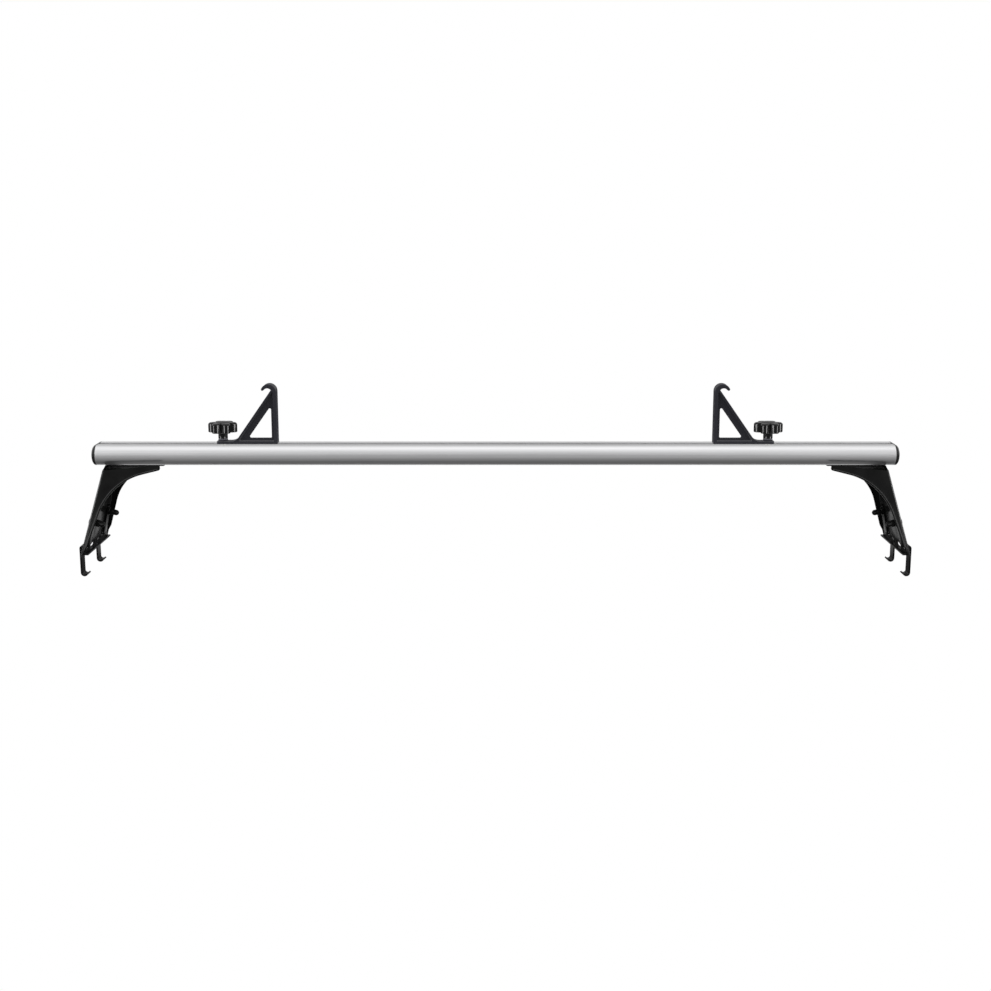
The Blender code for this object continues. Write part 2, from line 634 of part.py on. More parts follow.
def lobed(reach, depth):
    """A star knob's radius as a function of angle: round lobes between deep scallops."""
    def radius(angle):
        swing = 0.5 + 0.5 * math.cos(KNOB_LOBES * angle)
        return reach - depth * (1 - swing ** 0.45)
    return radius


def make_knob(name, side, looks, parent):
    """A six-lobed knob on a hub, its threaded insert, and the washer under it."""
    rows = ring(BOLT_HOLE, KNOB_WASHER_RADIUS, BOSS_TOP + GAP, KNOB_WASHER_TOP)
    add_object("knob_washer_" + name, turned(rows, 24, closed=True), looks["steel_zinc"], parent, side)
    hub_low = KNOB_WASHER_TOP + GAP
    rows = [
        (0, KNOB_BORE_TOP), (KNOB_BORE, KNOB_BORE_TOP), (KNOB_BORE, hub_low), (HUB_RADIUS, hub_low),
        (HUB_RADIUS, 22.4 * MM), (lobed(KNOB_RADIUS - 1.6 * MM, KNOB_SCALLOP), 22 * MM),
        (lobed(KNOB_RADIUS, KNOB_SCALLOP), 23.6 * MM), (lobed(KNOB_RADIUS, KNOB_SCALLOP), 39.4 * MM),
        (lobed(KNOB_RADIUS - 2.2 * MM, KNOB_SCALLOP), 41.6 * MM), (11 * MM, 42.3 * MM), (0, 42.8 * MM),
    ]
    add_object("star_knob_" + name, turned(rows, 60), looks["plastic"], parent, side)
    rows = ring(SHANK + GAP, KNOB_BORE - GAP, hub_low, KNOB_BORE_TOP - GAP)
    add_object("knob_insert_" + name, turned(rows, 24, closed=True), looks["brass"], parent, side)


def main():
    clear_scene()
    looks = {
        "aluminium": material("aluminium", (0.80, 0.80, 0.81), 0.35, 1.0),
        "casting": material("charcoal_casting", (0.035, 0.036, 0.042), 0.55, 0.0),
        "steel_black": material("black_powder_coat", (0.008, 0.008, 0.008), 0.35, 0.0),
        "steel_zinc": material("zinc_plated_steel", (0.62, 0.62, 0.60), 0.35, 1.0),
        "plastic": material("black_plastic", (0.006, 0.006, 0.006), 0.22, 0.0),
        "rubber": material("black_rubber", (0.015, 0.015, 0.015), 0.8, 0.0),
        "brass": material("brass", (0.78, 0.57, 0.27), 0.35, 1.0),
    }
    rack = empty("rack", (0, 0, HOOK_DEPTH))
    make_crossbar(looks["aluminium"], rack)
    for name, side in (("left", -1), ("right", 1)):
        make_end_cap("end_cap_" + name, side, looks["plastic"], rack)
        leg_slide = empty("leg_slide_" + name, (side * LEG_X, 0, 0), rack)
        make_leg("leg_" + name, side, looks["steel_black"], leg_slide)
        plate_low = make_saddle(name, side, looks, leg_slide)
        make_leg_fasteners(name, side, looks, leg_slide, plate_low)
        for place, end in (("front", -1), ("rear", 1)):
            hook_slide = empty("hook_slide_" + place + "_" + name, (0, 0, 0), leg_slide)
            make_gutter_hook(place + "_" + name, side, end, looks, hook_slide)
            make_hook_fasteners(place + "_" + name, side, end, looks, hook_slide)
        stop_slide = empty("stop_slide_" + name, (side * STOP_X, 0, BAR_TOP), rack)
        make_ladder_stop(name, side, looks, stop_slide)
        knob_axis = empty("knob_axis_" + name, (side * KNOB_X, 0, 0), stop_slide)
        make_knob(name, side, looks, knob_axis)


main()
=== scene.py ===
"""Looks of the cargo bar: fine surfaces, materials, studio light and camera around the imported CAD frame."""

import json
import math

import bmesh
import bpy
from mathutils import Matrix, Vector

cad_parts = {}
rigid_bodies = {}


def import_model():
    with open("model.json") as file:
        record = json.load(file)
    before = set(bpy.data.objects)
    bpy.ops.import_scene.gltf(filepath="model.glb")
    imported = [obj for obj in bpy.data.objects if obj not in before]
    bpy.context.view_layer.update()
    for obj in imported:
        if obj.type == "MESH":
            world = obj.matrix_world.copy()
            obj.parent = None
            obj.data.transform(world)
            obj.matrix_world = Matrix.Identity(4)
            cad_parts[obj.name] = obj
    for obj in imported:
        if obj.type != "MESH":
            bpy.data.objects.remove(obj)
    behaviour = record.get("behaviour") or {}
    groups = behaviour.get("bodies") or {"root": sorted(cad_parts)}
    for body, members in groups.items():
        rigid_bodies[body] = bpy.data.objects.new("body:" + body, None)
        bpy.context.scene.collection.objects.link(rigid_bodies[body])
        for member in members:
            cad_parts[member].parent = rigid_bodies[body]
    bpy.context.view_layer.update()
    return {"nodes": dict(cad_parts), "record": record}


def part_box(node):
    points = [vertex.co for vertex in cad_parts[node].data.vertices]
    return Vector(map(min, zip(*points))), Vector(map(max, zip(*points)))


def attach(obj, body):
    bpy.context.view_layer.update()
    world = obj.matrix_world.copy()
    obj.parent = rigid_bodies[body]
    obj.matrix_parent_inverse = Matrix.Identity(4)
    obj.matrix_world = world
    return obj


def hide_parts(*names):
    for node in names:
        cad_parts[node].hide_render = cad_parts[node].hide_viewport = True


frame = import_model()

MM = 0.001
GAP = 0.3 * MM

# The frame's own places and sizes.
BAR_LOW, BAR_HIGH = (Vector(corner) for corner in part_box("crossbar"))
LEG_HIGH = Vector(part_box("leg_right")[1])
STOP_LOW, STOP_HIGH = (Vector(corner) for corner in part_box("ladder_stop_right"))
KNOB_LOW, KNOB_HIGH = (Vector(corner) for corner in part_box("star_knob_right"))
KNOB_WASHER_LOW, KNOB_WASHER_HIGH = (Vector(corner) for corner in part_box("knob_washer_right"))
BAR_AXIS = (BAR_LOW.z + BAR_HIGH.z) / 2
BAR_TOP = BAR_HIGH.z
NOSE_RADIUS = (BAR_HIGH.z - BAR_LOW.z) / 2
BAR_FLAT = BAR_HIGH.y - NOSE_RADIUS

# Crossbar section.
WALL = 2.5 * MM
SLOT_MOUTH = 10.6 * MM
SLOT_CHANNEL = 21.0 * MM
SLOT_DEPTH = 9.0 * MM
SLOT_LIP_ROUND = 0.5 * MM
SLOT_CORNER_ROUND = 0.8 * MM
NOSE_STEPS = 40
CAP_SIDE = 2.4 * MM
CAP_ROUND = 13 * MM
CAP_STEPS = 12
CAP_EDGE = 0.4 * MM
SPIGOT_LENGTH = 14 * MM
SPIGOT_PLAY = 0.4 * MM

# Leg sheet, x outwards from the top of the web and z from the bar's axis.
SHEET = 3 * MM
FOLD_RADIUS_TOP = 6.2 * MM
FOLD_RADIUS_FOOT = 3.8 * MM
FOLD_STEPS = 10
ARM_LENGTH = 108.5 * MM
FLANGE_TOP = -15 * MM
WEB_TOP = -19.4 * MM
LEG_FOOT = Vector((37.9, -181.0)) * MM
LEG_X = LEG_HIGH.x - LEG_FOOT.x
LEG_HALF_WIDTH_TOP = 46 * MM
LEG_HALF_WIDTH_FOOT = 94.4 * MM
ARCH_CENTRE = Vector((-99.8, -141.3)) * MM
ARCH_FOLD_RADIUS = 115.5 * MM
ARCH_ANGLES = (76.5, 18.7)
RIM_WIDTH = 4.5 * MM
RIM_TURN = 4.5 * MM
RIM_TURN_START = -18 * MM
RIM_STEPS = 6
RIM_TURN_FOOT = 3 * MM
RIM_FALL = (-60 * MM, -110 * MM)
ARM_END_ROUND = 5 * MM
EDGE_TAIL = (Vector((20.3, -150.0)) * MM, Vector((23.6, -159.5)) * MM)
FOLD_TAIL = (Vector((25.1, -150.0)) * MM, Vector((30.5, -170.0)) * MM)
ARCH_STEPS = 48
LIP_WIDTH = 12.5 * MM
LIP_HALF_LENGTH = 81 * MM
FOOT_SLOT = (9 * MM, 36 * MM)
FOOT_SLOT_FROM_EDGE = (13 * MM, 4.5 * MM)
FOOT_SLOT_ROUND = 2 * MM
WEB_NOTCH = (25 * MM, 32 * MM)
LEG_BOLTS_X = (-70 * MM, -28 * MM)

# Fasteners.
SHANK = 4.0 * MM
BOLT_HOLE = 4.5 * MM
NUT_FLATS = 13 * MM
CAP_NUT_FLATS = 12 * MM
WASHER_RADIUS = 7.5 * MM
EDGE = 0.35 * MM
NUT_CHAMFER = 0.9 * MM
CORNER_TRIM = 0.885
BOLT_HEAD_RADIUS = 8.8 * MM
BOLT_HEAD_HEIGHT = 4.3 * MM
BOLT_TIP_CHAMFER = 0.6 * MM
DOME_RADIUS = 5.4 * MM
DOME_SIDE = 4.1 * MM

# Gutter hook strap.
STRAP = 3 * MM
STRAP_Y = (44.5 * MM, 68.5 * MM)
TAB_Y = (45 * MM, 66 * MM)
TAB_PLAY = 1.2 * MM
TONGUE_TIP_Y = 59 * MM
STRAP_FACE_X = 45.3 * MM
BEND_RADIUS = 4 * MM
TONGUE_START = 93 * MM
TONGUE_END = 148.5 * MM
HOOK_TRAVEL = 3 * MM
HOOK_WINDOW = (0.3 * MM, 9 * MM)
HOOK_WINDOW_ROUND = 1 * MM
HOOK_BOLT_Y = 52 * MM
HOOK_BOLT_S = 106 * MM
CAP_NUT_HEIGHT = 8 * MM
HOOK_WASHER_THICKNESS = 2 * MM
HOOK_CURL_RADIUS = 5.6 * MM
HOOK_LIP_LENGTH = 1.5 * MM
HOOK_DEPTH = 225 * MM
TONGUE_ROUND = 4 * MM

# Ladder stop, x outwards from the upright's inner face and z up from the bar's top.
STOP_X = STOP_LOW.x
STOP_LENGTH = STOP_HIGH.x - STOP_LOW.x
STOP_HALF_DEPTH = STOP_HIGH.y
STOP_BASE = 5.2 * MM
STOP_RIM = 3.6 * MM
STOP_UPRIGHT = 6.3 * MM
STOP_END_ROUND = 7 * MM
STOP_WEB = 2.6 * MM
SLOPE_TOP = Vector((9.63, 103.6)) * MM
SLOPE_FOOT = Vector((79.34, 5.2)) * MM
SLOPE_FILLET = 20 * MM
STOP_EDGE = 0.9 * MM
STOP_INNER_EDGE = 0.6 * MM
STOP_STEP = 6 * MM
THROAT = (Vector((16.6, 97.9)) * MM, 8.83 * MM, 140.7, 36.6, 24)
HOOK_TIP = (Vector((25.7, 104.65)) * MM, 2.5 * MM, 216.6, 383.4, 14)
CROWN = (Vector((14.6, 99.85)) * MM, 14.6 * MM, 23.4, 180, 30)
WINDOW_LOW = Vector((11.6, 10.95)) * MM
WINDOW_END = Vector((55.9, 72.9)) * MM
WINDOW_ROUND = 2.5 * MM
KNOB_X = (KNOB_LOW.x + KNOB_HIGH.x) / 2 - STOP_X
BOSS_RADIUS = 9.2 * MM
BOSS_TOP = 8 * MM
BOSS_EDGE = 0.4 * MM
BORE_REACH = 20 * MM
KEY_START = 6 * MM
KEY_END = 12 * MM
KEY_HEIGHT = 2.2 * MM
KEY_HALF_WIDTH = 4.9 * MM

# Star knob, heights above the bar's top.
KNOB_RADIUS = (KNOB_HIGH.x - KNOB_LOW.x) / 2
KNOB_SCALLOP = 13.5 * MM
KNOB_LOBES = 6
KNOB_UNDER = 22 * MM
KNOB_BODY_TOP = 40.4 * MM
KNOB_WASHER_RADIUS = 9 * MM
KNOB_BORE = 6.3 * MM
KNOB_BORE_TOP = 36.5 * MM
KNOB_ROUND = 4 * MM
KNOB_UNDER_ROUND = 1.6 * MM
KNOB_LOBE_POWER = 0.36
HUB_RADIUS = 8.9 * MM

# The studio: brightness by height in the sky, extra light from both sides, and the floor's glow from
# front to rear.
SKY = ((-1, 0.15), (-0.3, 0.2), (0, 0.36), (0.23, 0.46), (0.8, 0.80), (1, 1.3))
SIDE_LIGHT = 1.8
SIDE_RANGE = (0.25, 0.5)
SIDE_MIDDLE = 0.25
SIDE_FADE = (0.1, 0.65)
FLOOR_GLOW = ((-4, 0.4), (-1.2, 0.45), (-0.6, 0.38), (-0.26, 0.25), (-0.12, 0.15), (0.08, 0.12),
              (0.16, 0.6), (0.3, 0.6), (0.42, 0.04), (4, 0.04))

FLOOR_SIZE = 30

# The camera, on the object's middle plane in front of the bar.
CAMERA_LENS = 53.13
CAMERA_AWAY = 2.7532
CAMERA_ABOVE_BAR = 0.4826
CAMERA_PITCH = 11.6

# Soft lamps, as place, target, size and power on the right side, and the pieces that each set lights.
LAMPS = {
    "black_steel": (
        ((0.74, -0.42, 0.16), (0.76, 0, 0.16), (0.36, 0.14), 2.4),
        ((2.4, -0.1, 0.62), (0.76, 0, 0.15), (0.8, 0.8), 70.0),
        ((0.60, 0.13, 0.004), (0.60, 0.13, 1), (0.14, 0.16), 0.2),
    ),
    "knobs": (
        ((1.22, -0.5, 0.24), (0.519, 0, 0.265), (0.26, 0.5), 9.0),
        ((-0.18, -0.5, 0.24), (0.519, 0, 0.265), (0.26, 0.5), 9.0),
    ),
}
LIT_PIECES = {
    "black_steel": ("leg_pressing_", "hook_strap_", "carriage_bolt_", "flat_washer_", "cap_nut_"),
    "knobs": ("knob_moulding_",),
}

# Pieces that mirror-like reflections leave out, so that the bar stays clean.
UNMIRRORED = ("stop_casting_", "knob_", "dull_washer_", "saddle_", "leg_tbolt_", "plain_washer_",
              "hex_nut_")

DOWN = Vector((LEG_FOOT.x, LEG_FOOT.y - WEB_TOP)).normalized()
OUT = Vector((-DOWN.y, DOWN.x))


# ---------------------------------------------------------------- mesh tools

def piece(name, bm, look, body, nodes, origin=(0, 0, 0), side=1, end=1, sharp=32, recalculate=True):
    """Makes an object of bm, mirrored to its side and end, that rides on a body and replaces CAD nodes."""
    if recalculate:
        bmesh.ops.recalc_face_normals(bm, faces=bm.faces[:])
    for vertex in bm.verts:
        vertex.co.x = (vertex.co.x + origin[0]) * side
        vertex.co.y = (vertex.co.y + origin[1]) * end
        vertex.co.z += origin[2]
    if side * end < 0:
        bmesh.ops.reverse_faces(bm, faces=bm.faces[:])
    mesh = bpy.data.meshes.new(name)
    bm.to_mesh(mesh)
    bm.free()
    mesh.materials.append(look)
    mesh.shade_smooth()
    mesh.set_sharp_from_angle(angle=math.radians(sharp))
    made = bpy.data.objects.new(name, mesh)
    bpy.context.scene.collection.objects.link(made)
    if body:
        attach(made, body)
        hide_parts(*nodes)
    return made


def settle(made, sharp=32):
    """Applies an object's modifiers and shades the result."""
    graph = bpy.context.evaluated_depsgraph_get()
    mesh = bpy.data.meshes.new_from_object(made.evaluated_get(graph))
    made.modifiers.clear()
    made.data = mesh
    mesh.shade_smooth()
    mesh.set_sharp_from_angle(angle=math.radians(sharp))


def combine(target, cutter, operation):
    """Joins the cutter to the target, or takes it away, and removes the cutter."""
    modifier = target.modifiers.new("boolean", "BOOLEAN")
    modifier.operation = operation
    modifier.solver = "EXACT"
    modifier.object = cutter
    settle(target)
    bpy.data.objects.remove(cutter, do_unlink=True)


def arc(centre, radius, start, stop, steps):
    """Points on a circle from one angle to another, in degrees."""
    angles = [math.radians(start + (stop - start) * i / steps) for i in range(steps + 1)]
    return [Vector((centre[0] + radius * math.cos(a), centre[1] + radius * math.sin(a))) for a in angles]


def rounded(corners, steps=6):
    """An outline through corners (x, z, radius), each rounded to its radius."""
    points = []
    for i, (x, z, radius) in enumerate(corners):
        here = Vector((x, z))
        back = (Vector(corners[i - 1][:2]) - here).normalized()
        on = (Vector(corners[(i + 1) % len(corners)][:2]) - here).normalized()
        if radius == 0:
            points.append(here)
            continue
        half = back.angle(on) / 2
        centre = here + (back + on).normalized() * radius / math.sin(half)
        first = here + back * radius / math.tan(half) - centre
        last = here + on * radius / math.tan(half) - centre
        turn = last.angle_signed(first)
        for k in range(steps + 1):
            points.append(centre + Matrix.Rotation(turn * k / steps, 2) @ first)
    return points


def spaced(points, step):
    """The same closed outline with its long straights cut into shorter ones."""
    result = []
    for i, point in enumerate(points):
        following = points[(i + 1) % len(points)]
        count = max(1, math.ceil((following - point).length / step))
        result += [point.lerp(following, k / count) for k in range(count)]
    return result


def inset(points, amount):
    """A closed outline moved to its left by amount, with mitred corners."""
    result = []
    for i, here in enumerate(points):
        back = (here - points[i - 1]).normalized()
        on = (points[(i + 1) % len(points)] - here).normalized()
        left_back, left_on = Vector((-back.y, back.x)), Vector((-on.y, on.x))
        middle = (left_back + left_on).normalized()
        result.append(here + middle * amount / max(0.5, middle.dot(left_on)))
    return result


def filled(bm, loops):
    """Fills the first closed loop of vertices, leaving the others as holes."""
    edges = []
    for loop in loops:
        for i in range(len(loop)):
            pair = (loop[i - 1], loop[i])
            edges.append(bm.edges.get(pair) or bm.edges.new(pair))
    bmesh.ops.triangle_fill(bm, use_beauty=True, edges=edges)


def bridged(bm, one, other):
    """Joins two closed rings of as many vertices, or a ring to a single vertex."""
    for i in range(max(len(one), len(other))):
        corners = [one[i % len(one)], one[(i + 1) % len(one)]]
        corners += [other[(i + 1) % len(other)], other[i % len(other)]]
        bm.faces.new(list(dict.fromkeys(corners)))


def extruded(loops, along):
    """A solid from flat loops of 3D points, the first being the outside, pushed along a vector."""
    bm = bmesh.new()
    rings = [[[bm.verts.new(point + shift) for point in loop] for loop in loops]
             for shift in (Vector(), along)]
    for layer in rings:
        filled(bm, layer)
    for one, other in zip(*rings):
        bridged(bm, one, other)
    return bm


def turned(rows, sides, start=(0, 0, 0), axis=(0, 0, 1), closed=False):
    """A solid turned about an axis. Each row is (radius, height); radius may be a function of angle."""
    bm = bmesh.new()
    place = Vector((0, 0, 1)).rotation_difference(Vector(axis)).to_matrix()
    rings = []
    for radius, height in rows:
        if radius == 0:
            rings.append([bm.verts.new(place @ Vector((0, 0, height)) + Vector(start))])
            continue
        ring = []
        for i in range(sides):
            angle = math.tau * i / sides
            reach = radius(angle) if callable(radius) else radius
            point = Vector((reach * math.cos(angle), reach * math.sin(angle), height))
            ring.append(bm.verts.new(place @ point + Vector(start)))
        rings.append(ring)
    for one, other in zip(rings, rings[1:]):
        bridged(bm, one, other)
    if closed:
        bridged(bm, rings[-1], rings[0])
    return bm


def soft_ring(inner, outer, low, high, edge=EDGE):
    """The section of a washer or bush with broken edges, for turned(closed=True)."""
    section = [(inner, low + edge), (inner + edge, low), (outer - edge, low), (outer, low + edge)]
    top = [(outer, high - edge), (outer - edge, high), (inner + edge, high), (inner, high - edge)]
    return section + top


def hexagon(flats, trim=1.0):
    """A hexagon's radius as a function of angle; trim below 1 cuts its corners to a circle."""
    most = flats / 2 / math.cos(math.pi / 6) * trim
    return lambda angle: min(most, flats / 2 / math.cos((angle % (math.pi / 3)) - math.pi / 6))


# ---------------------------------------------------------------- materials

class Nodes:
    """A material's node tree with short calls to add and join nodes."""

    def __init__(self, name):
        self.material = bpy.data.materials.new(name)
        self.material.use_nodes = True
        self.tree = self.material.node_tree
        self.shader = self.tree.nodes["Principled BSDF"]
        self.place = self.add("ShaderNodeTexCoord").outputs["Object"]

    def add(self, kind, **settings):
        node = self.tree.nodes.new(kind)
        for key, value in settings.items():
            setattr(node, key, value)
        return node

    def join(self, source, target):
        self.tree.links.new(source, target)

    def noise(self, stretch, detail=4.0, roughness=0.55):
        """Noise whose grain is 1 / stretch metres along each axis, as a value from 0 to 1."""
        mapping = self.add("ShaderNodeMapping")
        mapping.inputs["Scale"].default_value = stretch
        self.join(self.place, mapping.inputs["Vector"])
        noise = self.add("ShaderNodeTexNoise")
        noise.inputs["Scale"].default_value = 1.0
        noise.inputs["Detail"].default_value = detail
        noise.inputs["Roughness"].default_value = roughness
        self.join(mapping.outputs["Vector"], noise.inputs["Vector"])
        return noise.outputs["Fac"]

    def spread(self, source, low, high, start=0.3, stop=0.7):
        """Maps a value from start..stop to low..high."""
        ramp = self.add("ShaderNodeMapRange")
        for key, value in zip(("From Min", "From Max", "To Min", "To Max"), (start, stop, low, high)):
            ramp.inputs[key].default_value = value
        self.join(source, ramp.inputs["Value"])
        return ramp.outputs["Result"]

    def colour(self, source, dark, light):
        mix = self.add("ShaderNodeMix", data_type="RGBA")
        mix.inputs["A"].default_value = (*dark, 1)
        mix.inputs["B"].default_value = (*light, 1)
        self.join(source, mix.inputs["Factor"])
        self.join(mix.outputs["Result"], self.shader.inputs["Base Color"])

    def roughness(self, source):
        self.join(source, self.shader.inputs["Roughness"])

    def bump(self, source, height, strength=1.0):
        node = self.add("ShaderNodeBump")
        node.inputs["Strength"].default_value = strength
        node.inputs["Distance"].default_value = height
        self.join(source, node.inputs["Height"])
        self.join(node.outputs["Normal"], self.shader.inputs["Normal"])

    def set(self, **values):
        for key, value in values.items():
            self.shader.inputs[key.replace("_", " ").title()].default_value = value


def extruded_aluminium():
    """Satin anodised metal with faint die lines along the bar."""
    nodes = Nodes("anodised_aluminium")
    lines = nodes.noise((1.5, 700, 700), 5.0, 0.6)
    cloud = nodes.noise((9, 30, 30), 3.0)
    nodes.colour(nodes.spread(lines, 0, 1), (0.70, 0.70, 0.71), (0.80, 0.80, 0.81))
    both = nodes.add("ShaderNodeMath", operation="ADD")
    nodes.join(nodes.spread(lines, 0.0, 0.09), both.inputs[0])
    nodes.join(nodes.spread(cloud, 0.25, 0.31), both.inputs[1])
    nodes.roughness(both.outputs["Value"])
    nodes.bump(lines, 0.03 * MM, 0.35)
    nodes.set(metallic=1.0)
    return nodes.material


def coated(name, dark, light, gloss, grain, height, shine=0.5):
    """Paint or moulded plastic: a fine bumpy skin with slow changes of colour and gloss."""
    nodes = Nodes(name)
    skin = nodes.noise((grain, grain, grain), 2.0, 0.5)
    cloud = nodes.noise((25, 25, 25), 4.0)
    nodes.colour(nodes.spread(cloud, 0, 1), dark, light)
    nodes.roughness(nodes.spread(cloud, *gloss))
    nodes.bump(skin, height, 0.6)
    nodes.shader.inputs["Specular IOR Level"].default_value = shine
    return nodes.material


def casting_coat():
    """Charcoal textured powder coat: a coarse pebbled skin with lighter specks."""
    nodes = Nodes("charcoal_casting")
    pebble = nodes.noise((1500, 1500, 1500), 3.0, 0.6)
    cloud = nodes.noise((40, 40, 40), 4.0)
    nodes.colour(nodes.spread(pebble, 0, 1, 0.35, 0.75), (0.017, 0.017, 0.023), (0.040, 0.040, 0.051))
    nodes.roughness(nodes.spread(cloud, 0.42, 0.56))
    nodes.bump(pebble, 0.12 * MM, 0.55)
    nodes.shader.inputs["Specular IOR Level"].default_value = 0.25
    return nodes.material


def metal(name, dark, light, gloss, stretch):
    """Plated or turned metal with fine tool marks."""
    nodes = Nodes(name)
    marks = nodes.noise(stretch, 4.0, 0.6)
    nodes.colour(nodes.spread(marks, 0, 1), dark, light)
    nodes.roughness(nodes.spread(marks, *gloss))
    nodes.bump(marks, 0.02 * MM, 0.4)
    nodes.set(metallic=1.0)
    return nodes.material


def make_looks():
    """Every finished material, by its slot's name, and a duller zinc for the knobs' washers."""
    return {
        "aluminium_bar": extruded_aluminium(),
        "end_cap_plastic": coated("end_cap_plastic", (0.006, 0.006, 0.006), (0.010, 0.010, 0.010),
                                  (0.20, 0.28), 1800, 0.03 * MM, 0.4),
        "charcoal_casting": casting_coat(),
        "black_coated_steel": coated("black_powder_coat", (0.002, 0.002, 0.002), (0.004, 0.004, 0.004),
                                     (0.18, 0.26), 700, 0.03 * MM, 0.05),
        "zinc_steel": metal("zinc_plate", (0.50, 0.50, 0.48), (0.66, 0.66, 0.63), (0.24, 0.36),
                            (300, 300, 900)),
        "knob_plastic": coated("glossy_knob_plastic", (0.002, 0.002, 0.002), (0.003, 0.003, 0.003),
                               (0.11, 0.15), 900, 0.006 * MM, 0.18),
        "dull_zinc": metal("dull_zinc_plate", (0.10, 0.10, 0.12), (0.16, 0.16, 0.19), (0.35, 0.5),
                           (300, 300, 300)),
        "pad_rubber": coated("pad_rubber", (0.010, 0.010, 0.010), (0.018, 0.018, 0.018), (0.6, 0.8), 1200,
                             0.08 * MM),
        "brass_insert": metal("turned_brass", (0.60, 0.42, 0.18), (0.78, 0.57, 0.27), (0.25, 0.4),
                              (200, 200, 1500)),
    }


# ---------------------------------------------------------------- crossbar and end caps

def tee_slot():
    """Half-outline of the upper T-slot, from the rear lip to the front lip, with rounded lips."""
    mouth, channel = SLOT_MOUTH / 2, SLOT_CHANNEL / 2
    under_lip = NOSE_RADIUS - WALL
    floor = under_lip - SLOT_DEPTH
    lip, corner = SLOT_LIP_ROUND, SLOT_CORNER_ROUND
    rear = arc((mouth + lip, NOSE_RADIUS - lip), lip, 90, 180, 4)
    rear += arc((mouth + lip, under_lip + lip), lip, 180, 270, 4)
    rear += arc((channel - corner, under_lip - corner), corner, 90, 0, 4)
    rear += arc((channel - corner, floor + corner), corner, 0, -90, 4)
    return rear + [Vector((-p.x, p.y)) for p in reversed(rear)]


def side_hollow(shrink):
    """The D-shaped hollow in the rear nose, shrunk for a spigot that plugs it."""
    wall = SLOT_CHANNEL / 2 + WALL + shrink
    radius = NOSE_RADIUS - WALL - shrink
    return [Vector((wall, -radius))] + arc((BAR_FLAT, 0), radius, -90, 90, 24) + [Vector((wall, radius))]


def make_crossbar(look):
    """The extrusion: rounded noses, a T-slot above and below, a middle chamber and two side hollows."""
    slot = tee_slot()
    section = arc((BAR_FLAT, 0), NOSE_RADIUS, -90, 90, NOSE_STEPS) + slot
    section += arc((-BAR_FLAT, 0), NOSE_RADIUS, 90, 270, NOSE_STEPS) + [-p for p in slot]
    half, top = SLOT_CHANNEL / 2, NOSE_RADIUS - WALL - SLOT_DEPTH - WALL
    middle = rounded([(half, -top, MM), (half, top, MM), (-half, top, MM), (-half, -top, MM)], 3)
    rear = side_hollow(0)
    loops = [section, middle, rear, [-p for p in rear]]
    loops = [[Vector((BAR_LOW.x, p.x, BAR_AXIS + p.y)) for p in loop] for loop in loops]
    bm = extruded(loops, Vector((BAR_HIGH.x - BAR_LOW.x, 0, 0)))
    piece("bar_extrusion", bm, look, "bar", ["crossbar"], sharp=40)


def make_end_cap(name, side, look):
    """A domed moulding over the bar's end, with a spigot in each side hollow."""
    end = BAR_HIGH.x
    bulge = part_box("end_cap_right")[1][0] - end
    rows = [(GAP, CAP_EDGE), (GAP + CAP_EDGE, 0.0)]
    for k in range(CAP_STEPS + 1):
        angle = math.radians(90 * k / CAP_STEPS)
        rows.append((CAP_SIDE + (bulge - CAP_SIDE) * math.sin(angle), CAP_ROUND * (1 - math.cos(angle))))
    bm = bmesh.new()
    rings = []
    for offset, amount in rows:
        outline = arc((BAR_FLAT, 0), NOSE_RADIUS - amount, -90, 90, NOSE_STEPS)
        outline += arc((-BAR_FLAT, 0), NOSE_RADIUS - amount, 90, 270, NOSE_STEPS)
        rings.append([bm.verts.new((end + offset, p.x, BAR_AXIS + p.y)) for p in outline])
    for one, other in zip(rings, rings[1:]):
        bridged(bm, one, other)
    bm.faces.new(rings[0])
    bm.faces.new(rings[-1])
    cap = piece("end_cap_moulding_" + name, bm, look, "bar", ["end_cap_" + name],
                side=side)
    reach = Vector((SPIGOT_LENGTH + MM, 0, 0))
    for turn in (1, -1):
        loop = [Vector((end - SPIGOT_LENGTH, turn * p.x, BAR_AXIS + turn * p.y))
                for p in side_hollow(SPIGOT_PLAY)]
        spigot = piece("spigot", extruded([loop], reach), look, None, (), side=side)
        combine(cap, spigot, "UNION")


# ---------------------------------------------------------------- legs

def half_width(z):
    """Half the leg's width from front to rear at a height."""
    share = (WEB_TOP - z) / (WEB_TOP - LEG_FOOT.y)
    return LEG_HALF_WIDTH_TOP + share * (LEG_HALF_WIDTH_FOOT - LEG_HALF_WIDTH_TOP)


def web_point(along, y, inset_by=0.0):
    """A point of the web: along its slope, across it, and inset from its outer face."""
    flat = Vector((0, WEB_TOP)) + DOWN * along - OUT * inset_by
    return Vector((flat.x, y, flat.y))


def rim_turn(z):
    """How far the arch's rim is turned in at a height."""
    start = min(1, max(0, (RIM_TURN_START - z) / RIM_TURN))
    fall = min(1, max(0, (z - RIM_FALL[0]) / (RIM_FALL[1] - RIM_FALL[0])))
    return start * (RIM_TURN + fall * (RIM_TURN_FOOT - RIM_TURN))


def arm_end(corner, radius):
    """The rounded lower corner of the arm's inner end, on to the line that leads into the arch."""
    slant = math.radians(90 - ARCH_ANGLES[0])
    drop = math.tan(slant) * radius
    centre = Vector((corner.x + radius, corner.y - drop + radius / math.cos(slant)))
    return arc(centre, radius, 180, 180 + ARCH_ANGLES[0], 8)


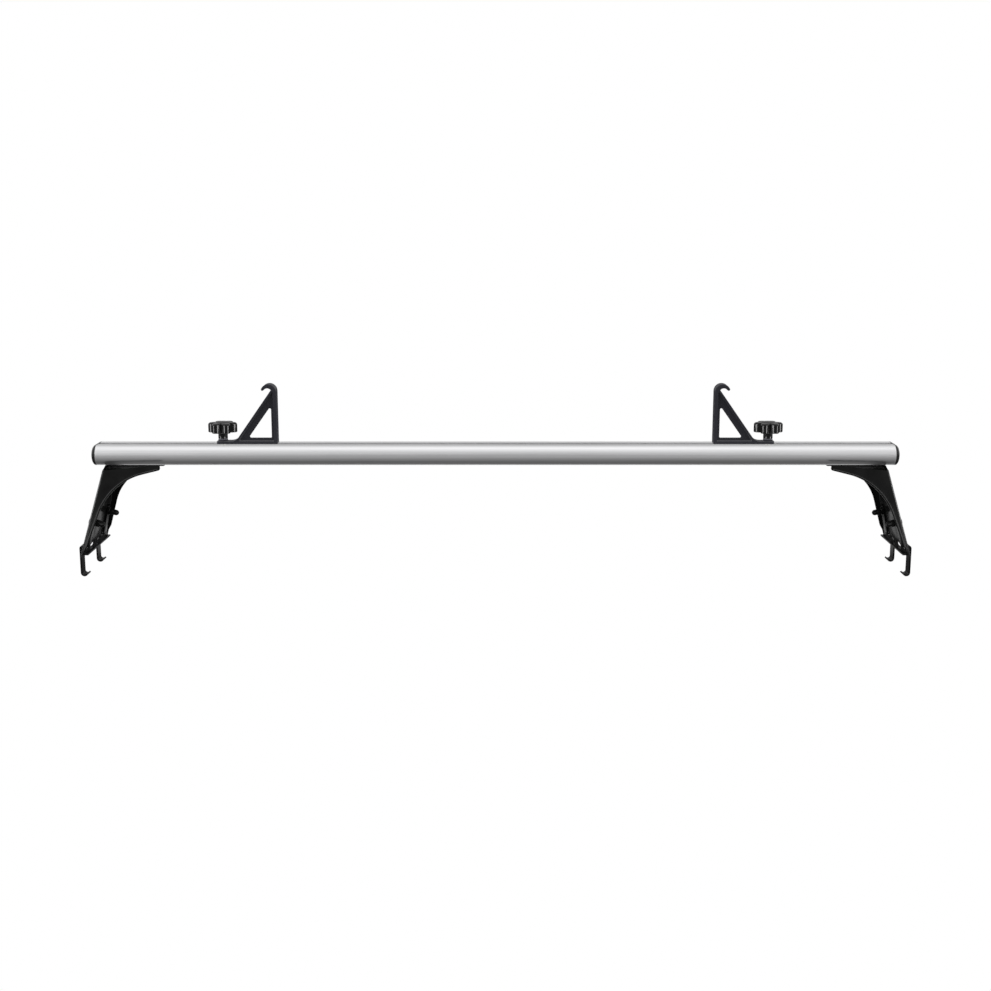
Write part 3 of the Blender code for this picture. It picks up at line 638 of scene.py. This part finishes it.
def arch_lines():
    """The leg's fold line and its free edge, from the arm's inner end to the foot."""
    lines = []
    for inset_by, tail in ((RIM_WIDTH, FOLD_TAIL), (0, EDGE_TAIL)):
        radius = ARCH_FOLD_RADIUS - RIM_WIDTH + inset_by
        curve = arc(ARCH_CENTRE, radius, *ARCH_ANGLES, ARCH_STEPS)
        x = inset_by - ARM_LENGTH
        rise = (curve[0].x - x) * math.tan(math.radians(90 - ARCH_ANGLES[0]))
        end = arm_end(Vector((x, curve[0].y + rise)), ARM_END_ROUND - inset_by / 2)
        lines.append([Vector((x, FLANGE_TOP))] + end + curve + list(tail))
    return lines


def capsule(start, stop, radius, y, steps=12):
    """A round-ended slot in the web, along its slope."""
    lower = arc((y, stop), radius, 0, 180, steps)
    upper = arc((y, start), radius, 180, 360, steps)
    return [web_point(along, across) for across, along in lower + upper]


def window(y_low, y_high, start, stop, radius):
    """A round-cornered rectangle in the web."""
    corners = [(y_low, start), (y_high, start), (y_high, stop), (y_low, stop)]
    outline = rounded([(y, along, radius) for y, along in corners])
    return [web_point(along, across) for across, along in outline]


def fold_arc(corner, on_web, on_flange, radius):
    """Points round the bend between web and flange, from the web's tangent to the flange's."""
    angle = on_web.angle(on_flange)
    centre = corner + (on_web + on_flange).normalized() * radius / math.sin(angle / 2)
    reach = radius / math.tan(angle / 2)
    first = corner + on_web * reach - centre
    last = corner + on_flange * reach - centre
    turn = first.rotation_difference(last)
    return [centre + Matrix.Rotation(turn.angle * k / FOLD_STEPS, 3, turn.axis) @ first
            for k in range(FOLD_STEPS + 1)]


def make_leg(name, side, look):
    """One folded sheet: sloping web, flanges with a turned arch rim, and a lip along the foot."""
    bm = bmesh.new()
    fold, edge = arch_lines()
    foot_along = (Vector((0, WEB_TOP)) - LEG_FOOT).length
    top_along = (WEB_TOP - FLANGE_TOP) / DOWN.y
    web, flanges = [], {}
    for sign, order in ((-1, 1), (1, -1)):
        top = web_point(top_along, sign * half_width(FLANGE_TOP))
        foot = web_point(foot_along, sign * half_width(LEG_FOOT.y))
        line = (foot - top).normalized()
        across = (Vector((0, -sign, 0)) + line * line.y * sign).normalized()
        flange_way = Vector((-1, 0, 0)) - line * line.dot(Vector((-1, 0, 0)))
        flange_way.normalize()
        tops = fold_arc(top, across, flange_way, FOLD_RADIUS_TOP)
        feet = fold_arc(foot, across, flange_way, FOLD_RADIUS_FOOT)
        rows = [[bm.verts.new(p) for p in points] for points in (tops, feet)]
        for i in range(FOLD_STEPS):
            bm.faces.new((rows[0][i], rows[0][i + 1], rows[1][i + 1], rows[1][i]))
        flanges[sign] = (rows[0][-1], rows[1][-1])
        notch = [bm.verts.new(web_point(along, sign * y)) for along, y in zip((0, top_along), WEB_NOTCH)]
        lip = [bm.verts.new(web_point(foot_along, sign * LIP_HALF_LENGTH))]
        web += (notch + [rows[0][0], rows[1][0]] + lip)[::order]
    lip_near, lip_far = web[4], web[5]
    slot_start, slot_stop = (foot_along - distance for distance in FOOT_SLOT_FROM_EDGE)
    window_start, window_stop = (TONGUE_END + distance for distance in HOOK_WINDOW)
    holes = []
    for end in (-1, 1):
        y_low, y_high = sorted(end * y for y in FOOT_SLOT)
        holes.append(window(y_low, y_high, slot_start, slot_stop, FOOT_SLOT_ROUND))
        y_low, y_high = sorted(end * (y + play) for y, play in zip(TAB_Y, (-TAB_PLAY, TAB_PLAY)))
        holes.append(window(y_low, y_high, window_start, window_stop, HOOK_WINDOW_ROUND))
        holes.append(capsule(HOOK_BOLT_S, HOOK_BOLT_S + HOOK_TRAVEL, BOLT_HOLE, end * HOOK_BOLT_Y))
    filled(bm, [web] + [[bm.verts.new(p) for p in hole] for hole in holes])
    for sign in (-1, 1):
        rows = []
        for inner, outer in zip(fold, edge):
            row = []
            for k in range(RIM_STEPS + 1):
                angle = math.radians(90 * k / RIM_STEPS)
                flat = inner.lerp(outer, math.sin(angle))
                y = half_width(flat.y) - rim_turn(outer.y) * (1 - math.cos(angle))
                row.append(bm.verts.new((flat.x, sign * y, flat.y)))
            rows.append(row)
        for one, other in zip(rows, rows[1:]):
            for i in range(RIM_STEPS):
                bm.faces.new((one[i], one[i + 1], other[i + 1], other[i]))
        filled(bm, [list(flanges[sign]) + [row[0] for row in rows[::-1]]])
    ends = [bm.verts.new(lip.co + Vector((-LIP_WIDTH, 0, 0))) for lip in (lip_near, lip_far)]
    bm.faces.new((lip_near, lip_far, ends[1], ends[0]))
    bmesh.ops.recalc_face_normals(bm, faces=bm.faces[:])
    web_face = max(bm.faces, key=lambda face: abs(face.normal.x))
    if web_face.normal.x < 0:
        bmesh.ops.reverse_faces(bm, faces=bm.faces[:])
    leg = piece("leg_pressing_" + name, bm, look, "leg_assembly_" + name,
                ["leg_" + name], (LEG_X, 0, BAR_AXIS), side, recalculate=False)
    thicken(leg, SHEET, -1)


def thicken(made, thickness, offset):
    """Gives a folded sheet its thickness and breaks its cut edges."""
    solidify = made.modifiers.new("sheet", "SOLIDIFY")
    solidify.thickness = thickness
    solidify.offset = offset
    solidify.use_even_offset = True
    solidify.use_quality_normals = True
    bevel = made.modifiers.new("edges", "BEVEL")
    bevel.width = EDGE
    bevel.segments = 2
    bevel.limit_method = "ANGLE"
    bevel.angle_limit = math.radians(50)
    bevel.use_clamp_overlap = False
    settle(made)


def make_leg_fasteners(name, side, looks):
    """The washers and hexagon nuts that clamp the leg's saddle plate."""
    for place, x in zip(("inner_", "outer_"), LEG_BOLTS_X):
        washer, nut = "leg_washer_" + place + name, "leg_nut_" + place + name
        low, high = (corner[2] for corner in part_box(washer))
        start = (LEG_X + x, 0, 0)
        bm = turned(soft_ring(BOLT_HOLE, WASHER_RADIUS, low, high), 48, start, closed=True)
        piece("plain_washer_" + place + name, bm, looks["zinc_steel"], "leg_assembly_" + name,
              [washer], side=side)
        low, high = (corner[2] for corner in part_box(nut))
        bm = turned(hex_nut(NUT_FLATS, SHANK + GAP, low, high), 72, start, closed=True)
        piece("hex_nut_" + place + name, bm, looks["zinc_steel"], "leg_assembly_" + name,
              [nut], side=side)


def hex_nut(flats, bore, low, high):
    """The section of a nut with chamfered corners and a countersunk bore."""
    flat, full = hexagon(flats, CORNER_TRIM), hexagon(flats)
    sink = NUT_CHAMFER / 2
    section = [(bore, low + sink), (bore + sink, low), (flat, low), (full, low + NUT_CHAMFER)]
    return section + [(full, high - NUT_CHAMFER), (flat, high), (bore + sink, high), (bore, high - sink)]


# ---------------------------------------------------------------- gutter hooks

def strap_path():
    """The strap's centre line below its tongue, as (x, z, is_wide) from the tongue to the hook's lip."""
    start = Vector((0, WEB_TOP)) + DOWN * TONGUE_END - OUT * (SHEET + GAP + STRAP / 2)
    first_centre = start + OUT * BEND_RADIUS
    web_angle = math.degrees(math.atan2(-OUT.y, -OUT.x))
    path = [(p, False) for p in arc(first_centre, BEND_RADIUS, web_angle, web_angle + 90, 8)]
    after = first_centre + DOWN * BEND_RADIUS
    centre_x = STRAP_FACE_X - STRAP / 2 - BEND_RADIUS
    crossing = (centre_x - after.x - DOWN.x * BEND_RADIUS) / OUT.x
    bend_start = after + OUT * crossing
    step = after + OUT * (crossing * 0.75)
    path += [(step, False), (step, True), (bend_start, True)]
    up_angle = math.degrees(math.atan2(-DOWN.y, -DOWN.x))
    path += [(p, True) for p in arc(bend_start + DOWN * BEND_RADIUS, BEND_RADIUS, up_angle, 0, 10)[1:]]
    curl = Vector((STRAP_FACE_X - STRAP / 2 - HOOK_CURL_RADIUS, HOOK_CURL_RADIUS + STRAP / 2 - HOOK_DEPTH))
    path += [(p, True) for p in arc(curl, HOOK_CURL_RADIUS, 0, -135, 16)]
    path.append((path[-1][0] + Vector((-1, 1)).normalized() * HOOK_LIP_LENGTH, True))
    return path


def make_gutter_hook(name, side, end, look):
    """A strap with a tapered tongue inside the leg, a bend through the web and a curled hook."""
    bm = bmesh.new()
    inset_by = SHEET + GAP + STRAP / 2
    tongue = rounded([
        (TAB_Y[0], TONGUE_START, TONGUE_ROUND), (TONGUE_TIP_Y, TONGUE_START, TONGUE_ROUND),
        (TAB_Y[1], TONGUE_END, 0), (TAB_Y[0], TONGUE_END, 0),
    ])
    hole = arc((HOOK_BOLT_Y, HOOK_BOLT_S), BOLT_HOLE, 0, 345, 23)
    filled(bm, [[bm.verts.new(web_point(along, y, inset_by)) for y, along in loop]
                for loop in (tongue, hole)])
    rows = []
    for point, wide in strap_path():
        across = (STRAP_Y[0], *TAB_Y, STRAP_Y[1]) if wide else TAB_Y
        rows.append([bm.verts.new((point.x, y, point.y)) for y in across])
    for one, other in zip(rows, rows[1:]):
        if len(one) == len(other):
            for i in range(len(one) - 1):
                bm.faces.new((one[i], one[i + 1], other[i + 1], other[i]))
    bmesh.ops.remove_doubles(bm, verts=bm.verts[:], dist=0.00001)
    bmesh.ops.recalc_face_normals(bm, faces=bm.faces[:])
    hook = piece("hook_strap_" + name, bm, look, "hook_" + name,
                 ["gutter_hook_" + name], (LEG_X, 0, BAR_AXIS), side, end, recalculate=False)
    thicken(hook, STRAP, 0)


def make_hook_fasteners(name, side, end, look):
    """A carriage bolt through the web and tongue, with a washer and a cap nut inside the leg."""
    start = web_point(HOOK_BOLT_S, HOOK_BOLT_Y) + Vector((LEG_X, 0, BAR_AXIS))
    axis = (-OUT.x, 0, -OUT.y)
    washer_low = SHEET + STRAP + 2 * GAP
    washer_high = washer_low + HOOK_WASHER_THICKNESS
    nut_low = washer_high + GAP
    nut_high = nut_low + CAP_NUT_HEIGHT
    head = [(BOLT_HEAD_RADIUS * math.cos(math.radians(a)),
             -GAP - BOLT_HEAD_HEIGHT * math.sin(math.radians(a))) for a in range(80, -1, -10)]
    tip = SHANK - BOLT_TIP_CHAMFER
    bolt = [(0, -GAP - BOLT_HEAD_HEIGHT)] + head
    bolt += [(SHANK, -GAP), (SHANK, nut_high - BOLT_TIP_CHAMFER), (tip, nut_high), (0, nut_high)]
    dome_side = nut_high + DOME_SIDE
    dome = [(DOME_RADIUS * math.cos(math.radians(a)), dome_side + DOME_RADIUS * math.sin(math.radians(a)))
            for a in range(0, 90, 10)]
    flat, full = hexagon(CAP_NUT_FLATS, CORNER_TRIM), hexagon(CAP_NUT_FLATS)
    nut = [(0, nut_high + GAP), (SHANK + GAP, nut_high + GAP), (SHANK + GAP, nut_low), (flat, nut_low),
           (full, nut_low + NUT_CHAMFER), (full, nut_high - NUT_CHAMFER), (flat, nut_high),
           (DOME_RADIUS, nut_high + 0.1 * MM)] + dome + [(0, dome_side + DOME_RADIUS)]
    washer = soft_ring(BOLT_HOLE, WASHER_RADIUS, washer_low, washer_high)
    parts = (
        ("carriage_bolt_", "hook_bolt_", turned(bolt, 48, start, axis)),
        ("flat_washer_", "hook_washer_", turned(washer, 48, start, axis, closed=True)),
        ("cap_nut_", "hook_cap_nut_", turned(nut, 72, start, axis)),
    )
    for kind, node, bm in parts:
        piece(kind + name, bm, look, "hook_" + name, [node + name],
              side=side, end=end)


# ---------------------------------------------------------------- ladder stops

def stop_outline():
    """The stop's side view: a base, a sloping outer edge and a hook that opens outwards."""
    base = rounded([
        (0, GAP, 0.6 * MM), (STOP_LENGTH, GAP, 0.6 * MM), (STOP_LENGTH, STOP_BASE, MM),
        (*SLOPE_FOOT, SLOPE_FILLET), (*SLOPE_TOP, 0),
    ], 10)
    return base[:-1] + arc(*THROAT) + arc(*HOOK_TIP)[1:] + arc(*CROWN)[1:]


def stop_window():
    """The triangular opening, with its right angle at the foot of the upright."""
    return rounded([(*WINDOW_LOW, WINDOW_ROUND), (WINDOW_END.x, WINDOW_LOW.y, WINDOW_ROUND),
                    (WINDOW_LOW.x, WINDOW_END.y, WINDOW_ROUND)], 8)


def stop_pocket():
    """The recess between the upright, the base and the rim along the slope."""
    slope = (SLOPE_FOOT - SLOPE_TOP).normalized()
    inner_top = SLOPE_TOP + Vector((slope.y, -slope.x)) * STOP_RIM
    low = STOP_BASE + 0.6 * MM
    foot_x = inner_top.x + (inner_top.y - low) * -slope.x / slope.y
    top_z = inner_top.y + (STOP_UPRIGHT - inner_top.x) * slope.y / slope.x
    return rounded([(STOP_UPRIGHT, low, 1.5 * MM), (foot_x, low, 2 * MM), (STOP_UPRIGHT, top_z, 0.8 * MM)],
                   6)


def relief_rings(bm, outline, steps):
    """Rings of an outline, each moved inwards and to a depth, given as (inset, y)."""
    return [[bm.verts.new((p.x, y, p.y)) for p in inset(outline, amount)] for amount, y in steps]


def edge_steps(depth, radius, way, count=4):
    """Steps round a quarter-round edge: (inset, y) from the flat face to the side wall."""
    steps = []
    for k in range(count + 1):
        angle = math.radians(90 * k / count)
        steps.append((way * radius * (1 - math.sin(angle)), depth - radius * (1 - math.cos(angle))))
    return steps


def make_ladder_stop(name, side, looks):
    """A casting with a raised rim and a thin web, both rounded at their edges, and a key below."""
    bm = bmesh.new()
    outline = spaced(stop_outline(), STOP_STEP)
    opening, recess = spaced(stop_window(), STOP_STEP), spaced(stop_pocket(), STOP_STEP)
    joined = {}
    for face in (-1, 1):
        outer = edge_steps(STOP_HALF_DEPTH, STOP_EDGE, 1)
        pocket = edge_steps(STOP_HALF_DEPTH, STOP_INNER_EDGE, -1)
        pocket += [(0.5 * MM, STOP_WEB + MM), (0.7 * MM, STOP_WEB + 0.4 * MM), (1.3 * MM, STOP_WEB)]
        hole = edge_steps(STOP_WEB, STOP_INNER_EDGE, -1)
        rings = {key: relief_rings(bm, shape, [(amount, face * y) for amount, y in steps])
                 for key, shape, steps in (("outer", outline, outer), ("pocket", recess, pocket),
                                           ("hole", opening, hole))}
        for chain in rings.values():
            for one, other in zip(chain, chain[1:]):
                bridged(bm, one, other)
        filled(bm, [rings["outer"][0], rings["pocket"][0]])
        filled(bm, [rings["pocket"][-1], rings["hole"][0]])
        joined[face] = (rings["outer"][-1], rings["hole"][-1])
    for one, other in zip(joined[-1], joined[1]):
        bridged(bm, one, other)
    origin = (STOP_X, 0, BAR_TOP)
    look = looks["charcoal_casting"]
    stop = piece("stop_casting_" + name, bm, look, "stop_" + name,
                 ["ladder_stop_" + name], origin, side)
    for end in (-1, 1):
        x, y = STOP_LENGTH - STOP_END_ROUND, STOP_HALF_DEPTH - STOP_END_ROUND
        corner = arc((x, y), STOP_END_ROUND, 0, 90, 12)
        corner += [Vector((x, 15 * MM)), Vector((x + 15 * MM, 15 * MM)), Vector((x + 15 * MM, y))]
        loop = [Vector((p.x, end * p.y, -MM)) for p in corner]
        off = extruded([loop], Vector((0, 0, STOP_BASE + 2 * MM)))
        combine(stop, piece("corner", off, look, None, (), origin, side), "DIFFERENCE")
    rows = [(0, MM), (BOSS_RADIUS, MM), (BOSS_RADIUS, BOSS_TOP - BOSS_EDGE),
            (BOSS_RADIUS - BOSS_EDGE, BOSS_TOP), (0, BOSS_TOP)]
    boss = turned(rows, 64, (KNOB_X, 0, 0))
    combine(stop, piece("boss", boss, look, None, (), origin, side), "UNION")
    rows = [(0, -BORE_REACH), (BOLT_HOLE, -BORE_REACH), (BOLT_HOLE, BORE_REACH), (0, BORE_REACH)]
    bore = turned(rows, 40, (KNOB_X, 0, 0))
    combine(stop, piece("bore", bore, look, None, (), origin, side), "DIFFERENCE")
    key = [Vector((KEY_START, KEY_HALF_WIDTH * a, -KEY_HEIGHT if low else 2 * MM))
           for a, low in ((-1, True), (1, True), (1, False), (-1, False))]
    length = Vector((KNOB_X - KEY_END - KEY_START, 0, 0))
    rail = extruded([key], length)
    combine(stop, piece("key", rail, look, None, (), origin, side), "UNION")


# ---------------------------------------------------------------- star knobs

def lobed(reach, depth):
    """A star knob's radius as a function of angle: broad lobes between deep narrow scallops."""
    def radius(angle):
        swing = 0.5 + 0.5 * math.cos(KNOB_LOBES * angle)
        return reach - depth * (1 - swing ** KNOB_LOBE_POWER)
    return radius


def make_knob(name, side, looks):
    """A glossy six-lobed knob on its hub, with a hole for its threaded insert, and its washer."""
    low, high = KNOB_LOW.z, KNOB_HIGH.z
    under, top = BAR_TOP + KNOB_UNDER, BAR_TOP + KNOB_BODY_TOP
    bore_top = BAR_TOP + KNOB_BORE_TOP
    rows = [(0, bore_top), (KNOB_BORE, bore_top), (KNOB_BORE, low + 0.4 * MM), (KNOB_BORE + 0.4 * MM, low),
            (HUB_RADIUS - 0.6 * MM, low), (HUB_RADIUS, low + 0.6 * MM), (HUB_RADIUS, under - 1.2 * MM),
            (HUB_RADIUS + 0.4 * MM, under - 0.4 * MM), (HUB_RADIUS + 1.2 * MM, under)]
    for angle in range(0, 91, 18):
        drawn_in = KNOB_UNDER_ROUND * (1 - math.sin(math.radians(angle)))
        rows.append((lobed(KNOB_RADIUS - drawn_in, KNOB_SCALLOP),
                     under + KNOB_UNDER_ROUND * (1 - math.cos(math.radians(angle)))))
    for angle in range(0, 91, 15):
        drawn_in = KNOB_ROUND * (1 - math.cos(math.radians(angle)))
        rows.append((lobed(KNOB_RADIUS - drawn_in, KNOB_SCALLOP - drawn_in),
                     top - KNOB_ROUND * (1 - math.sin(math.radians(angle)))))
    rows += [(14.0 * MM, top + 0.3 * MM), (13.3 * MM, top + 1.2 * MM), (11 * MM, high - 0.8 * MM),
             (8 * MM, high - 0.4 * MM), (4 * MM, high - 0.1 * MM), (0, high)]
    start = (STOP_X + KNOB_X, 0, 0)
    piece("knob_moulding_" + name, turned(rows, 240, start), looks["knob_plastic"], "knob_" + name,
          ["star_knob_" + name], side=side)
    washer = soft_ring(BOLT_HOLE, KNOB_WASHER_RADIUS, KNOB_WASHER_LOW.z, KNOB_WASHER_HIGH.z)
    piece("dull_washer_" + name, turned(washer, 64, start, closed=True), looks["dull_zinc"],
          "stop_" + name, ["knob_washer_" + name], side=side)


# ---------------------------------------------------------------- studio

class Light:
    """The world's or the floor's node tree, with short calls that work out a brightness."""

    def __init__(self, tree):
        self.tree = tree

    def add(self, kind, **settings):
        node = self.tree.nodes.new(kind)
        for key, value in settings.items():
            setattr(node, key, value)
        return node

    def ramp(self, source, start, stop, low, high, smooth=False):
        node = self.add("ShaderNodeMapRange", interpolation_type="SMOOTHSTEP" if smooth else "LINEAR")
        for key, value in zip(("From Min", "From Max", "To Min", "To Max"), (start, stop, low, high)):
            node.inputs[key].default_value = value
        self.tree.links.new(source, node.inputs["Value"])
        return node.outputs["Result"]

    def math(self, operation, one, other=0.0):
        node = self.add("ShaderNodeMath", operation=operation)
        for socket, value in zip(node.inputs, (one, other)):
            if isinstance(value, float):
                socket.default_value = value
            else:
                self.tree.links.new(value, socket)
        return node.outputs["Value"]

    def curve(self, source, points):
        """Follows straight lines through (value, brightness) points."""
        node = self.add("ShaderNodeValToRGB")
        low, high = points[0][0], points[-1][0]
        stops = node.color_ramp.elements
        for i, (value, bright) in enumerate(points):
            place = (value - low) / (high - low)
            stop = stops[i] if i < 2 else stops.new(place)
            stop.position = place
            stop.color = (bright, bright, bright, 1)
        self.tree.links.new(self.ramp(source, low, high, 0, 1), node.inputs["Fac"])
        return node.outputs["Color"]


def lamp(name, place, target, size, power, takers):
    """An unseen soft lamp whose light only the takers' collection receives."""
    light = bpy.data.lights.new(name, "AREA")
    light.shape = "RECTANGLE"
    light.size, light.size_y = size
    light.energy = power
    made = bpy.data.objects.new(name, light)
    made.location = place
    made.rotation_euler = (Vector(target) - Vector(place)).to_track_quat("-Z", "Y").to_euler()
    made.visible_camera = False
    made.light_linking.receiver_collection = takers
    bpy.context.scene.collection.objects.link(made)


def make_studio():
    """A floor and a soft sky that read plain white to the camera, with a graded studio around them for
    reflections; the floor itself glows, as painted light graded from front to rear.
    """
    world = bpy.data.worlds.new("studio")
    bpy.context.scene.world = world
    world.use_nodes = True
    sky = Light(world.node_tree)
    background = world.node_tree.nodes["Background"]
    background.inputs["Color"].default_value = (1, 1, 1, 1)
    way = sky.add("ShaderNodeSeparateXYZ")
    world.node_tree.links.new(sky.add("ShaderNodeTexCoord").outputs["Generated"], way.inputs["Vector"])
    height = sky.curve(way.outputs["Z"], SKY)
    sides = sky.ramp(sky.math("ABSOLUTE", way.outputs["X"]), *SIDE_RANGE, 0, SIDE_LIGHT, True)
    from_band = sky.math("ABSOLUTE", sky.math("SUBTRACT", way.outputs["Z"], SIDE_MIDDLE))
    band = sky.ramp(from_band, *SIDE_FADE, 1, 0, True)
    glow = sky.math("ADD", sky.math("MULTIPLY", sides, band), 1.0)
    graded = sky.math("MULTIPLY", height, glow)
    seen = sky.add("ShaderNodeLightPath").outputs["Is Camera Ray"]
    world.node_tree.links.new(sky.math("MAXIMUM", graded, seen), background.inputs["Strength"])

    bm = bmesh.new()
    bmesh.ops.create_grid(bm, x_segments=1, y_segments=1, size=FLOOR_SIZE)
    look = bpy.data.materials.new("pale_floor")
    look.use_nodes = True
    look.node_tree.nodes.remove(look.node_tree.nodes["Principled BSDF"])
    ground = Light(look.node_tree)
    glow = ground.add("ShaderNodeEmission")
    place = ground.add("ShaderNodeSeparateXYZ")
    look.node_tree.links.new(ground.add("ShaderNodeTexCoord").outputs["Object"], place.inputs["Vector"])
    # Painted light: the floor's glow is graded from front to rear, with a bright band just behind the legs
    # that gives their rims a painted highlight in reflection; the camera sees the floor plain white.
    graded = ground.curve(place.outputs["Y"], FLOOR_GLOW)
    seen = ground.add("ShaderNodeLightPath").outputs["Is Camera Ray"]
    look.node_tree.links.new(ground.math("MAXIMUM", graded, seen), glow.inputs["Strength"])
    look.node_tree.links.new(glow.outputs["Emission"],
                             look.node_tree.nodes["Material Output"].inputs["Surface"])
    piece("studio_floor", bm, look, None, ())

    for takers, lamps in LAMPS.items():
        lit = bpy.data.collections.new(takers)
        for side in (-1, 1):
            for place, target, size, power in lamps:
                place, target = (Vector((side * p[0], p[1], p[2])) for p in (place, target))
                lamp("lamp", place, target, size, power, lit)

    camera = bpy.data.cameras.new("camera")
    camera.lens = CAMERA_LENS
    camera.sensor_width = 36
    made = bpy.data.objects.new("camera", camera)
    made.location = (0, -CAMERA_AWAY, BAR_AXIS + CAMERA_ABOVE_BAR)
    made.rotation_euler = (math.radians(90 - CAMERA_PITCH), 0, 0)
    bpy.context.scene.collection.objects.link(made)
    bpy.context.scene.camera = made
    bpy.context.scene.view_settings.view_transform = "Standard"


def dress_kept_nodes(looks):
    """Gives the CAD nodes that stay visible their finished materials."""
    for part in frame["record"]["subparts"]:
        node = frame["nodes"][part["node"]]
        node.data.materials.clear()
        node.data.materials.append(looks[part["material_slot"]])


looks = make_looks()
make_studio()
dress_kept_nodes(looks)
make_crossbar(looks["aluminium_bar"])
for name, side in (("left", -1), ("right", 1)):
    make_end_cap(name, side, looks["end_cap_plastic"])
    make_leg(name, side, looks["black_coated_steel"])
    make_leg_fasteners(name, side, looks)
    for place, end in (("front_", -1), ("rear_", 1)):
        make_gutter_hook(place + name, side, end, looks["black_coated_steel"])
        make_hook_fasteners(place + name, side, end, looks["black_coated_steel"])
    make_ladder_stop(name, side, looks)
    make_knob(name, side, looks)

for made in bpy.context.scene.objects:
    for takers, names in LIT_PIECES.items():
        if made.name.startswith(names):
            bpy.data.collections[takers].objects.link(made)
    if made.name.startswith(UNMIRRORED):
        made.visible_glossy = False
